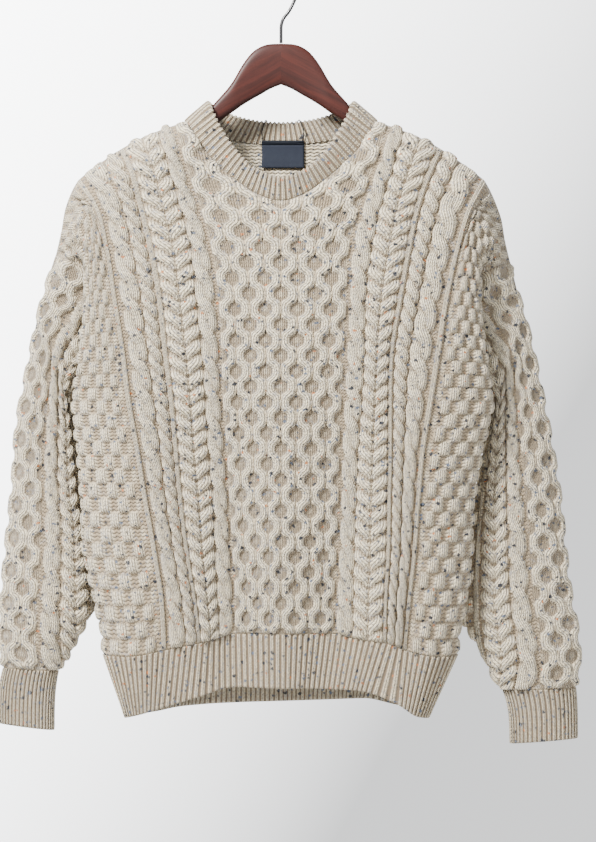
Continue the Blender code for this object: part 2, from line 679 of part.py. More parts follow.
def build_sweater(wool):
    columns = panel_columns()
    inner_columns = [i for i, s in enumerate(columns) if abs(s) in INNER_COLUMNS_S]
    below = np.arange(ROWS_BELOW_ARMPIT) / ROWS_BELOW_ARMPIT
    above = np.concatenate([np.arange(ROWS_ABOVE_ARMPIT), ROWS_ABOVE_ARMPIT - 1 + np.array(ROLL_ROWS)])
    rows = np.concatenate([below, 1 + above / ROWS_ABOVE_ARMPIT])
    armpit_row = ROWS_BELOW_ARMPIT
    inner_rows = INNER_ROWS + list(range(len(rows) - len(ROLL_ROWS) - 2, len(rows)))
    front = panel(columns, rows, True)
    back = panel(columns, rows, False)
    front_normals = grid_normals(front)
    back_normals = -grid_normals(back)

    neck = np.abs(columns) < NECK_SIDE_S - 0.1
    shoulder = ~neck
    join_normals(front_normals, back_normals, armpit_row, shoulder)

    sleeves = {}
    for side, edge in (("left", 0), ("right", -1)):
        loop = armhole_loop(front[armpit_row:, edge], back[armpit_row:, edge])
        rings = sleeve_grid(side, loop)
        normals = grid_normals(rings, closed=True)
        if side == "left":
            normals = -normals
        share_armhole_normals(front_normals, back_normals, normals, armpit_row, edge)
        sleeves[side] = (rings, normals)

    for grid, normals, name in (
        (front, front_normals, "front_panel"),
        (back, back_normals, "back_panel"),
    ):
        side_trim = ARMHOLE_TRIM + armpit_ease(np.arange(len(rows)) - armpit_row)
        cut = trimmed(trimmed(grid, "left", side_trim), "right", side_trim)
        cut = trimmed(trimmed(cut, "top", SEAM_TRIM), "bottom", SEAM_TRIM)
        relief = panel_relief(columns, len(rows))
        if name == "front_panel":
            wall(name, cut, normals, relief, inner_columns, inner_rows, wool)
        else:
            turned = (cut[:, ::-1], normals[:, ::-1], relief[:, ::-1])
            wall(name, *turned, inner_columns, inner_rows, wool)

    for side, (rings, normals) in sleeves.items():
        from_foot = np.arange(rings.shape[1])
        from_foot = np.minimum(from_foot, rings.shape[1] - from_foot)
        cut = trimmed(rings, "top", ARMHOLE_TRIM + armpit_ease(from_foot))
        cut = trimmed(cut, "bottom", SEAM_TRIM)
        relief = sleeve_relief(*rings.shape[:2])
        if side == "left":
            cut, normals, relief = cut[:, ::-1], normals[:, ::-1], relief[:, ::-1]
        picks = list(range(0, cut.shape[1], 2))
        row_picks = list(range(0, SLEEVE_ROWS + 1, 3))
        wall("sleeve_" + side, cut, normals, relief, picks, row_picks, wool, ring=True)
        build_cuff(side, rings[0], sleeves[side][1][0], wool)

    build_hem(columns, front[0], front_normals[0], back[0], back_normals[0], wool)
    build_neckband(columns, front[-1], front_normals[-1], back[-1], back_normals[-1], wool)


def armpit_ease(steps):
    """Extra gap in the corner under the arm, where three walls meet."""
    return ARMPIT_EASE * np.clip(1 - np.abs(steps) / 3, 0, 1)


def join_normals(front_normals, back_normals, armpit_row, shoulder):
    """Where the front and the back are sewn together, both walls end on one plane between them."""
    for edge in (0, -1):
        shared = unit(front_normals[: armpit_row + 1, edge] + back_normals[: armpit_row + 1, edge])
        front_normals[: armpit_row + 1, edge] = shared
        back_normals[: armpit_row + 1, edge] = shared
    shared = unit(front_normals[-1, shoulder] + back_normals[-1, shoulder])
    front_normals[-1, shoulder] = shared
    back_normals[-1, shoulder] = shared


def share_armhole_normals(front_normals, back_normals, sleeve_normals, armpit_row, edge):
    """The same at the armholes, between each panel's edge and the sleeve's first ring."""
    first = sleeve_normals[-1]
    half = len(first) // 2
    sleeve_front = first[: half + 1]
    sleeve_back = np.concatenate([first[half:], first[:1]])[::-1]
    front_edge = front_normals[armpit_row:, edge]
    back_edge = back_normals[armpit_row:, edge]
    front_mixed = unit(front_edge + sleeve_front)
    back_mixed = unit(back_edge + sleeve_back)
    back_mixed[0] = front_mixed[0]
    back_mixed[-1] = front_mixed[-1]
    front_normals[armpit_row:, edge] = front_mixed
    back_normals[armpit_row:, edge] = back_mixed
    sleeve_normals[-1] = np.concatenate([front_mixed, back_mixed[-2:0:-1]])


def spread(points, count):
    """Distances of count + 1 evenly spaced places along a polyline, and of the polyline's own points."""
    reach = np.concatenate([[0], np.cumsum(np.linalg.norm(np.diff(points, axis=0), axis=1))])
    return np.linspace(0, reach[-1], count + 1), reach


def on_polyline(at, reach, values):
    return np.stack([np.interp(at, reach, values[:, k]) for k in range(3)], axis=1)


def build_hem(columns, front_edge, front_normals, back_edge, back_normals, wool):
    hem = np.array(HEM, float)
    for name, edge, normals, first, flip in (
        ("hem_rib_front", front_edge, front_normals, 1, False),
        ("hem_rib_back", back_edge, back_normals, 4, True),
    ):
        at, reach = spread(edge, 2 * HEM_RIBS)
        top = on_polyline(at, reach, edge)
        top_normals = unit(on_polyline(at, reach, normals))
        s = np.interp(at, reach, columns)
        bottom = smooth(s, hem[:, 0], hem[:, first : first + 3])
        grid = np.stack([bottom, top])
        if flip:
            grid, top_normals = grid[:, ::-1], top_normals[::-1]
        own = grid_normals(grid)
        own[-1] = top_normals
        for end in (0, -1):
            own[:, end] = top_normals[end]
        cut = trimmed(trimmed(grid, "top", SEAM_TRIM), "left", SEAM_TRIM)
        cut = trimmed(cut, "right", SEAM_TRIM)
        relief = np.tile(np.where(np.arange(grid.shape[1]) % 2, RIB_RELIEF, 0.0), (2, 1))
        relief[:, [0, -1]] = 0
        wall(name, cut, own, relief, range(cut.shape[1]), [0, 1], wool)


def build_cuff(side, ring, normals, wool):
    """Ribbed cuff below the sleeve's last ring, closing in towards the wrist."""
    closed = np.concatenate([ring, ring[:1]])
    closed_normals = np.concatenate([normals, normals[:1]])
    reach = np.concatenate([[0], np.cumsum(np.linalg.norm(np.diff(closed, axis=0), axis=1))])
    share = np.linspace(0, 1, 2 * CUFF_RIBS + 1)[:-1]
    place = np.interp(share, np.linspace(0, 1, len(reach)), reach)
    top = on_polyline(place, reach, closed)
    top_normals = unit(on_polyline(place, reach, closed_normals))
    turn = 2 * np.pi * share
    outer, inner = np.array(CUFF_OUTER[side]), np.array(CUFF_INNER[side])
    oval = (0.5 - 0.5 * np.cos(turn))[:, None] * (outer - inner)
    sideways = -np.sign(np.sin(turn)) * np.abs(np.sin(turn)) ** 0.75
    bottom = inner + oval + (sideways * CUFF_DEPTH)[:, None] * np.array([0, 1.0, 0])
    down = bottom - top
    upper = top + down * np.array([0.55, 0.45, 0.22])
    grid = np.stack([bottom, upper, top])
    own = grid_normals(grid, closed=True)
    if side == "left":
        own = -own
    own[-1] = top_normals
    cut = trimmed(grid, "top", SEAM_TRIM)
    relief = np.tile(np.where(np.arange(grid.shape[1]) % 2, RIB_RELIEF, 0.0), (3, 1))
    relief[-1] = 0
    if side == "left":
        cut, own, relief = cut[:, ::-1], own[:, ::-1], relief[:, ::-1]
    picks = list(range(0, cut.shape[1], 4))
    wall("cuff_" + side, cut, own, relief, picks, [0, 1, 2], wool, CUFF_WALL, ring=True)


def build_neckband(columns, front_edge, front_normals, back_edge, back_normals, wool):
    """Doubled rib round the neck: its foot follows the necklines, its upper edge a smooth oval."""
    neck = np.abs(columns) < NECK_SIDE_S + 0.1
    seam = np.concatenate([front_edge[neck], back_edge[neck][-2:0:-1]])
    normals = np.concatenate([front_normals[neck], back_normals[neck][-2:0:-1]])
    first = len(front_edge[neck]) // 2
    seam = np.roll(seam, -first, axis=0)
    normals = np.roll(normals, -first, axis=0)
    closed = np.concatenate([seam, seam[:1]])
    closed_normals = np.concatenate([normals, normals[:1]])
    at, reach = spread(closed, 2 * BAND_RIBS)
    foot = on_polyline(at, reach, closed)[:-1]
    out = unit(on_polyline(at, reach, closed_normals))[:-1]
    edge = band_edge(foot)
    rise = unit(edge - foot)
    outward = unit(out - (out * rise).sum(axis=1, keepdims=True) * rise)
    ribs = np.where(np.arange(len(foot)) % 2, BAND_RIB_RELIEF, 0.0)[:, None]
    half = BAND_THICKNESS / 2
    length = np.linalg.norm(edge - foot, axis=1, keepdims=True)
    lower = foot + rise * BAND_SEAM_LIFT
    rings = [
        lower + out * (half + 0.5 * ribs),
        foot + rise * (length - 2.0) + outward * (half + ribs),
        foot + rise * length - outward * (half - 0.9),
        lower - out * half,
    ]
    count = len(foot)
    numbers = np.arange(len(rings) * count).reshape(len(rings), count)
    numbers = np.column_stack([numbers, numbers[:, 0]])
    numbers = np.concatenate([numbers, numbers[:1]])
    add_mesh("neckband", np.concatenate(rings), quads(numbers), wool)


def band_edge(foot):
    """Upper edge of the band above each foot point: an oval from above, highest beside the neck."""
    front_side = foot[:, 1] < 0
    width = np.abs(foot[:, 0]).max()
    sine = np.clip(foot[:, 0] / width, -1, 1)
    x = BAND_HALF_WIDTH * sine
    y = np.where(front_side, BAND_FRONT_Y, BAND_BACK_Y)
    y = y * (1 - np.abs(sine) ** NECK_ROUNDNESS) ** (1 / NECK_ROUNDNESS)
    lift = 1 - (1 - sine**2) ** 0.87
    front_z = BAND_FRONT_Z + (BAND_SIDE_Z - BAND_FRONT_Z) * lift
    back_z = BAND_BACK_Z + (BAND_SIDE_Z - BAND_BACK_Z) * lift
    return np.stack([x, y, np.where(front_side, front_z, back_z)], axis=1)


def build_label(cloth):
    """Woven label sewn under the back of the neckband, with a folded strip along its upper edge."""
    columns = np.linspace(*LABEL_X, 5)
    fold_z = LABEL_Z[1] - LABEL_FOLD_HEIGHT
    for name, heights, proud in (
        ("label", np.array([LABEL_Z[0], -196.0, fold_z - 0.3]), 0.0),
        ("label_fold", np.array([fold_z, LABEL_Z[1]]), 0.4),
    ):
        x, z = np.meshgrid(columns, heights)
        y = back_inner_y(x.ravel(), z.ravel()).reshape(x.shape)
        face = np.stack([x, y - LABEL_CLEARANCE - LABEL_THICKNESS - proud, z], axis=2)
        forward = np.zeros_like(face)
        forward[:, :, 1] = -1.0
        across, up = range(len(columns)), range(len(heights))
        wall(name, face, forward, np.zeros(x.shape), across, up, cloth, LABEL_THICKNESS + proud)


def back_inner_y(x, z):
    """Depth of the back's inner side at a place of the neck, clear of the thicker band."""
    columns = np.array(FRONT_COLUMNS, float)
    honeycomb = smooth(z, columns[:, 0], columns[:, 1])
    s = x / honeycomb * HONEYCOMB_S
    c = z - RIB_TOP_Z
    top = top_height(s, BACK_NECK_DROP)
    share = 1 + (np.minimum(c, top) - ARMPIT_C) / (top - ARMPIT_C)
    return body_points(s, share, False)[:, 1] - BAND_THICKNESS / 2


def build_loop(cord):
    curve = bpy.data.curves.new("label_loop", "CURVE")
    curve.dimensions = "3D"
    curve.bevel_depth = LOOP_DIAMETER / 2 * MM
    curve.bevel_resolution = 1
    curve.use_fill_caps = True
    spline = curve.splines.new("POLY")
    points = along(LOOP_POINTS, np.linspace(0, 1, 40)) * MM
    spline.points.add(len(points) - 1)
    for point, place in zip(spline.points, points):
        point.co = (*place, 1.0)
    curve.materials.append(cord)
    loop = bpy.data.objects.new("label_loop", curve)
    bpy.context.scene.collection.objects.link(loop)


def build_hanger(wood):
    """Two curved arms that meet at the middle, thicker at the shoulders, with rounded edges."""
    table = np.array(HANGER_ARM)
    stations = np.concatenate([np.linspace(0.2, 54, 8), np.linspace(66, 209, 8), [217.0]])
    rows = smooth(stations, table[:, 0], table[:, 1:])
    for side, name in ((-1, "hanger_arm_left"), (1, "hanger_arm_right")):
        rings = []
        for x, (upper, lower, half) in zip(stations, rows):
            height = upper - lower
            round_off = min(half * 0.75, height * 0.4)
            section = rounded_section(half, upper, lower, round_off)
            rings.append([(side * x, y, z) for y, z in section])
        rings = np.array(rings)
        count = rings.shape[1]
        numbers = np.arange(rings.shape[0] * count).reshape(rings.shape[0], count)
        numbers = np.column_stack([numbers, numbers[:, 0]])
        faces = quads(numbers, side < 0)
        first = tuple(range(count))
        last = tuple(numbers[-1, :-1])
        faces += [first[::-1], last] if side > 0 else [first, last[::-1]]
        add_mesh(name, rings.reshape(-1, 3), faces, wood)


def rounded_section(half, upper, lower, round_off):
    """Outline of an arm in depth and height, with quarter circles of two steps at the corners."""
    corners = (
        (half - round_off, upper - round_off, 0),
        (-half + round_off, upper - round_off, 90),
        (-half + round_off, lower + round_off, 180),
        (half - round_off, lower + round_off, 270),
    )
    outline = []
    for y, z, start in corners:
        for step in (0, 45, 90):
            angle = math.radians(start + step)
            outline.append((y + round_off * math.cos(angle), z + round_off * math.sin(angle)))
    return outline


def build_hook(steel):
    """Bent wire: a stem out of the wood, an S-bend and a round hook open to the left."""
    centre_z = HOOK_WIRE / 2 - HOOK_RADIUS
    angles = np.radians(np.arange(-28, 203, 11))
    arc = [(HOOK_RADIUS * math.cos(a), centre_z + HOOK_RADIUS * math.sin(a)) for a in angles]
    route = np.array([(x, 0.0, z) for x, z in list(HOOK_STEM) + arc])
    curve = bpy.data.curves.new("hanger_hook", "CURVE")
    curve.dimensions = "3D"
    curve.bevel_depth = HOOK_WIRE / 2 * MM
    curve.bevel_resolution = 2
    curve.use_fill_caps = True
    spline = curve.splines.new("POLY")
    points = along(route, np.linspace(0, 1, 34)) * MM
    spline.points.add(len(points) - 1)
    for point, place in zip(spline.points, points):
        point.co = (*place, 1.0)
    curve.materials.append(steel)
    hook = bpy.data.objects.new("hanger_hook", curve)
    bpy.context.scene.collection.objects.link(hook)


def main():
    for old in list(bpy.data.objects):
        bpy.data.objects.remove(old)
    wool = material("wool_knit", WOOL, 0.95)
    build_sweater(wool)
    navy = material("navy_ribbon", NAVY, 0.7)
    build_label(navy)
    build_loop(material("navy_cord", NAVY, 0.8))
    build_hanger(material("mahogany", MAHOGANY, 0.35))
    build_hook(material("black_wire", BLACK_WIRE, 0.4, 0.6))


main()
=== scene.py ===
# %% [markdown]
# # A cable-knit sweater on its hanger
#
# This notebook dresses a plain frame of a crewneck sweater, hung on a two-arm wooden hanger. Lengths are in
# millimetres in the tables, as a knitter's chart has them, and in metres in the meshes. +Z is up and the
# front faces -Y. Each knitted piece is one surface of two numbers, "s" along the knitting and "c" up it,
# raised by a height that follows the cables.

import math

import bpy
import numpy as np
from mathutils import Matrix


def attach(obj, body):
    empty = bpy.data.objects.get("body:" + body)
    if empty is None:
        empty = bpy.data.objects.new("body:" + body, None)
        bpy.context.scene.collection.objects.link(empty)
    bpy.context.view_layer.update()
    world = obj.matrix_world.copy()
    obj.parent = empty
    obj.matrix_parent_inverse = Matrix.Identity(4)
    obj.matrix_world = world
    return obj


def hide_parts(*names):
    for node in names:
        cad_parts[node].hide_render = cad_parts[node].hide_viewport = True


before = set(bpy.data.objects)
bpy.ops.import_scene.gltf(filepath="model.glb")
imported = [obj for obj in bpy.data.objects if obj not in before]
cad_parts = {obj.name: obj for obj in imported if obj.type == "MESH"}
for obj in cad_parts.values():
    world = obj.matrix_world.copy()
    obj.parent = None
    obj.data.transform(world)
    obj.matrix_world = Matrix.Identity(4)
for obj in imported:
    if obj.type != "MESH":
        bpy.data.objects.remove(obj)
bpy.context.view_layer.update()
MM = 0.001
print("nodes in the frame:", sorted(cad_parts))

# %% [markdown]
# ## Camera
#
# The real thing was seen from straight ahead, from about three metres with a long lens, so the hem and the
# shoulders show no strong perspective. The lens is chosen so that 943 mm of cloth fill the picture's height.

# %% Camera
camera_data = bpy.data.cameras.new("camera")
camera_data.lens = 114.5
camera_data.sensor_width = 36.0
camera = bpy.data.objects.new("camera", camera_data)
camera.location = (0.019, -3.0, -0.494)
camera.rotation_euler = (math.radians(90), 0.0, 0.0)
bpy.context.scene.collection.objects.link(camera)
bpy.context.scene.camera = camera
print("camera at", tuple(camera.location), "with lens", camera_data.lens)

# %% [markdown]
# ## Curves through table rows
#
# A knitted form has few straight lines, so every table is read through a smooth curve. One of the curves
# never swings past its rows, which keeps depths in order. The other has averaged slopes, which keeps a fold
# round. Both take whole arrays, so a million points cost no loop.


# %% Curves through table rows
def stretch_of(x, knots):
    """Number of the stretch between knots that each x lies in."""
    return np.clip(np.searchsorted(knots, x, side="right") - 1, 0, len(knots) - 2)


def cubic(u, width, start, end, slope_start, slope_end):
    """Cubic over one stretch: value and slope at both ends, weighted by the four Hermite polynomials."""
    return (
        start * (1 + 2 * u) * (1 - u) ** 2
        + slope_start * width * u * (1 - u) ** 2
        + end * u * u * (3 - 2 * u)
        - slope_end * width * u * u * (1 - u)
    )


def hermite(x, knots, values, tangent):
    """Curve through rows of values with a given tangent at each row."""
    i = stretch_of(x, knots)
    shape = x.shape + (1,) * (values.ndim - 1)
    step = np.diff(knots)[i]
    u = ((x - knots[i]) / step).reshape(shape)
    return cubic(u, step.reshape(shape), values[i], values[i + 1], tangent[i], tangent[i + 1])


def slopes(knots, values):
    """Slope of each stretch, and at each inner row the mean of its neighbours weighted by their widths."""
    step = np.diff(knots).reshape((-1,) + (1,) * (values.ndim - 1))
    slope = np.diff(values, axis=0) / step
    inner = (step[1:] * slope[:-1] + step[:-1] * slope[1:]) / (step[1:] + step[:-1])
    return slope, inner


def smooth(x, knots, values):
    """Curve through rows that never swings past them: each slope is at most three times its neighbours'."""
    knots, values = np.asarray(knots, float), np.asarray(values, float)
    x = np.clip(np.asarray(x, float), knots[0], knots[-1])
    slope, inner = slopes(knots, values)
    before, after = slope[:-1], slope[1:]
    limit = 3 * np.minimum(np.abs(before), np.abs(after)) * (before * after > 0)
    inner = np.clip(inner, -limit, limit)
    return hermite(x, knots, values, np.concatenate([slope[:1], inner, slope[-1:]]))


def rounded(x, knots, values):
    """Curve through rows with averaged slopes, for folds that must stay round."""
    knots, values = np.asarray(knots, float), np.asarray(values, float)
    slope, inner = slopes(knots, values)
    return hermite(np.asarray(x, float), knots, values, np.concatenate([slope[:1], inner, slope[-1:]]))


def reach_of(points):
    """Distance along a polyline at each of its points."""
    return np.concatenate([[0], np.cumsum(np.linalg.norm(np.diff(points, axis=0), axis=1))])


def along(points, fractions):
    """Points at these fractions of a route's length, on a smooth curve through the route's points."""
    points = np.asarray(points, float)
    reach = reach_of(points)
    return smooth(np.asarray(fractions) * reach[-1], reach, points)


def between(at, reach, points):
    """Points at the distances at of a polyline, on its straight stretches."""
    return np.stack([np.interp(at, reach, points[:, k]) for k in range(points.shape[1])], axis=1)


def unit(vectors):
    """Vectors of length one. A vector of no length, as at a seam that folds flat, stays at zero."""
    return vectors / np.maximum(np.linalg.norm(vectors, axis=-1, keepdims=True), 1e-9)


def ease(x):
    """0 below 0, 1 above 1, and a soft S between."""
    x = np.clip(x, 0, 1)
    return x * x * (3 - 2 * x)


# %% [markdown]
# ## From a grid of points to a mesh
#
# A surface worked out on a grid becomes a mesh in one go: the corners of all its cells are index arithmetic.
# Knitwear has thickness, so each piece is a closed shell. Its outer side is fine and carries the cables. The
# inner side is a quarter as fine, because nobody sees it from close by, except at the ribs, whose inside
# shows below the hem. The rim between the sides is a row of faces with several short edges on the fine side
# and one long edge on the other.


# %% From a grid of points to a mesh
COARSE = 4


def cells(numbers):
    """Corner numbers of every cell of a grid, turning so that the face looks along columns x rows."""
    corners = [numbers[:-1, :-1], numbers[:-1, 1:], numbers[1:, 1:], numbers[1:, :-1]]
    return np.stack(corners, axis=2).reshape(-1, 4)


def rim(fine, coarse, step):
    """Faces between an edge of the fine side and the same edge of the inner side, step to one."""
    count = len(coarse) - 1
    start = np.arange(count)[:, None] * step
    return np.column_stack([coarse[:-1], coarse[1:], fine[start + np.arange(step, -1, -1)]])


def shell_faces(rows, columns, ring, step=COARSE):
    """Faces of a closed shell: the outer grid, the inner grid turned round, and the rims.

    A ring's columns close on themselves, so it has a rim only at its first and last row.
    """
    fine = np.arange(rows * columns).reshape(rows, columns)
    inner_count = len(range(0, columns, step))
    inner = rows * columns + np.arange(len(range(0, rows, step)) * inner_count).reshape(-1, inner_count)
    if ring:
        fine = np.column_stack([fine, fine[:, 0]])
        inner = np.column_stack([inner, inner[:, 0]])
    faces = [cells(fine), cells(inner)[:, ::-1]]
    rims = [rim(fine[0], inner[0], step), rim(fine[-1], inner[-1], step)[:, ::-1]]
    if not ring:
        rims += [rim(fine[:, 0], inner[:, 0], step)[:, ::-1], rim(fine[:, -1], inner[:, -1], step)]
    return faces, rims


def mesh_object(name, points, face_groups, material):
    """Object at the origin from points in millimetres and groups of faces, each group with its own size."""
    mesh = bpy.data.meshes.new(name)
    points = np.asarray(points, np.float64) * MM
    sizes = np.concatenate([np.full(len(group), group.shape[1]) for group in face_groups])
    corners = np.concatenate([group.ravel() for group in face_groups])
    mesh.vertices.add(len(points))
    mesh.vertices.foreach_set("co", points.ravel())
    mesh.loops.add(len(corners))
    mesh.loops.foreach_set("vertex_index", corners.astype(np.int32))
    mesh.polygons.add(len(sizes))
    mesh.polygons.foreach_set("loop_start", (np.cumsum(sizes) - sizes).astype(np.int32))
    mesh.update(calc_edges=True)
    mesh.shade_smooth()
    mesh.materials.append(material)
    made = bpy.data.objects.new(name, mesh)
    bpy.context.scene.collection.objects.link(made)
    return made


def set_uv(piece, corner_uv):
    """UV map whose corners are given for the first faces; the remaining corners stay at zero."""
    layer = piece.data.uv_layers.new(name="stitches")
    values = np.zeros((len(piece.data.loops), 2), np.float32)
    values[: len(corner_uv)] = corner_uv
    layer.data.foreach_set("uv", values.ravel())


def set_corner_value(piece, name, corner_values, rest):
    """Named number on every face corner, for the material to read. The remaining corners get the rest."""
    layer = piece.data.attributes.new(name, "FLOAT", "CORNER")
    values = np.full(len(piece.data.loops), rest, np.float32)
    values[: len(corner_values)] = corner_values
    layer.data.foreach_set("value", values)


def set_stitches(piece, across, upward, purl, hollow_shade):
    """What the wool reads on each corner: stitch and row, whether it is purl, and how deep it lies, for
    painted shade.
    """
    set_uv(piece, np.column_stack([across, upward]))
    set_corner_value(piece, "purl", purl, 1.0)
    set_corner_value(piece, "hollow_shade", hollow_shade, 0.5)


def dress(piece, node):
    """Puts a finished piece on the one body and in the place of its plain solid."""
    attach(piece, "root")
    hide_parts(node)


def shell_object(names, material, outer, inner, ring=False, step=COARSE):
    """Closed shell between two grids, in its node's place. Gives the piece, and its outer and inner faces."""
    faces, rims = shell_faces(*outer.shape[:2], ring, step)
    points = np.concatenate([outer.reshape(-1, 3), inner.reshape(-1, 3)])
    piece = mesh_object(names[0], points, faces + rims, material)
    dress(piece, names[1])
    return piece, faces


def grid_normals(grid, closed=False):
    """Unit normals of a grid: the cross product of its differences along columns and rows."""
    around = np.roll(grid, -1, axis=1) - np.roll(grid, 1, axis=1) if closed else np.gradient(grid, axis=1)
    return unit(np.cross(around, np.gradient(grid, axis=0)))


# %% [markdown]
# ## Materials as node graphs
#
# A small wrapper keeps the node graphs readable: each call adds a node, links its inputs and returns its
# output. A pattern that belongs to the knitting reads the piece's own UV map, which counts stitches across
# and rows upwards. Coloured neps in the yarn read Object coordinates, so they never line up with the rows.


# %% Materials as node graphs
class Graph:
    """Adds nodes to a material or world and returns their outputs, so that a pattern reads like a formula."""

    def __init__(self, owner, shader="Principled BSDF"):
        owner.use_nodes = True
        self.owner = owner
        self.tree = owner.node_tree
        self.shader = self.tree.nodes[shader]

    def add(self, kind, inputs=(), output=0, **settings):
        """Adds one node. inputs pairs a socket's name or number with a value or another node's output."""
        node = self.tree.nodes.new(kind)
        for key, value in settings.items():
            setattr(node, key, value)
        for socket, value in dict(inputs).items():
            if isinstance(value, bpy.types.NodeSocket):
                self.tree.links.new(value, node.inputs[socket])
            else:
                node.inputs[socket].default_value = value
        return node.outputs[output]

    def math(self, operation, a, b=0.0, c=0.0):
        return self.add("ShaderNodeMath", {0: a, 1: b, 2: c}, operation=operation)

    def times(self, a, b):
        return self.math("MULTIPLY", a, b)

    def vector_math(self, operation, a, b, output=0):
        return self.add("ShaderNodeVectorMath", {0: a, 1: b}, output, operation=operation)

    def place(self):
        """Object coordinates."""
        return self.add("ShaderNodeTexCoord", output=3)

    def part(self, vector, number):
        """One of a vector's three numbers."""
        return self.add("ShaderNodeSeparateXYZ", {0: vector}, output=number)

    def ramp(self, value, low, high, to_low=0.0, to_high=1.0):
        """Moves a value from one range to another with soft ends, held at the limits."""
        inputs = {"Value": value, "From Min": low, "From Max": high, "To Min": to_low, "To Max": to_high}
        return self.add("ShaderNodeMapRange", inputs, interpolation_type="SMOOTHSTEP")

    def mix(self, share, a, b, most=1.0):
        """Colour between a and b, by the share times its most. A plain colour is given without its alpha."""
        share = share if most == 1.0 else self.times(share, most)
        a, b = (v if isinstance(v, bpy.types.NodeSocket) else (*v, 1) for v in (a, b))
        return self.add("ShaderNodeMix", {0: share, 6: a, 7: b}, output=2, data_type="RGBA")

    def noise(self, vector, scale, detail=2.0, roughness=0.5):
        inputs = {"Vector": vector, "Scale": scale, "Detail": detail, "Roughness": roughness}
        return self.add("ShaderNodeTexNoise", inputs)

    def spots(self, vector, size, chosen, reach):
        """Yarn neps: in cells of this size, the chosen share gets one spot each of this relative reach."""
        inputs = {"Vector": vector, "Scale": 1.0 / size, "Randomness": 1.0}
        distance = self.add("ShaderNodeTexVoronoi", inputs)
        colour = self.add("ShaderNodeTexVoronoi", inputs, output=1)
        pick = self.add("ShaderNodeSeparateColor", {0: colour})
        inside = self.ramp(distance, reach, reach * 0.55)
        return self.times(inside, self.math("LESS_THAN", pick, chosen))

    def bump(self, height, distance, strength=1.0, normal=None):
        inputs = {"Height": height, "Distance": distance, "Strength": strength}
        if normal is not None:
            inputs["Normal"] = normal
        return self.add("ShaderNodeBump", inputs)

    def set(self, **values):
        """Sets the shader's sockets, by a number or by a link. Underscores stand for spaces."""
        for key, value in values.items():
            socket = self.shader.inputs[key.replace("_", " ")]
            if isinstance(value, bpy.types.NodeSocket):
                self.tree.links.new(value, socket)
            else:
                socket.default_value = value
        return self.owner


def material_graph(name):
    """Graph of a new material."""
    return Graph(bpy.data.materials.new(name))


def scaled(colour, factor):
    """Colour made darker or lighter."""
    return tuple(factor * v for v in colour)


# %% [markdown]
# ## Wool yarn
#
# The sweater is knitted in thick undyed wool with neps: cream with a grey haze, and short flecks of black,
# slate blue and rust. Shade is painted into the colour: tan in the hollows, because light sinks into the
# yarn, and dark brown where the stitch relief is low. A stitch is two legs that lean together into a V.
# Across one stitch, each leg is half a wave high, and along the stitch the wave is shifted with the distance
# from its middle, which draws the V. A purl stitch shows its head instead, a low arch. Both waves are worked
# out from the UV map, and the attribute "purl" chooses between them.


# %% Wool yarn
NEP_CELL = 8.0 * MM
NEPS = (
    # size of its cells, share of cells that have one, reach within the cell, colour
    (1.0, 0.28, 0.33, (0.010, 0.013, 0.022)),
    (0.9, 0.30, 0.31, (0.105, 0.13, 0.18)),
    (1.1, 0.20, 0.23, (0.46, 0.165, 0.05)),
    (0.8, 0.34, 0.29, (0.085, 0.088, 0.10)),
)


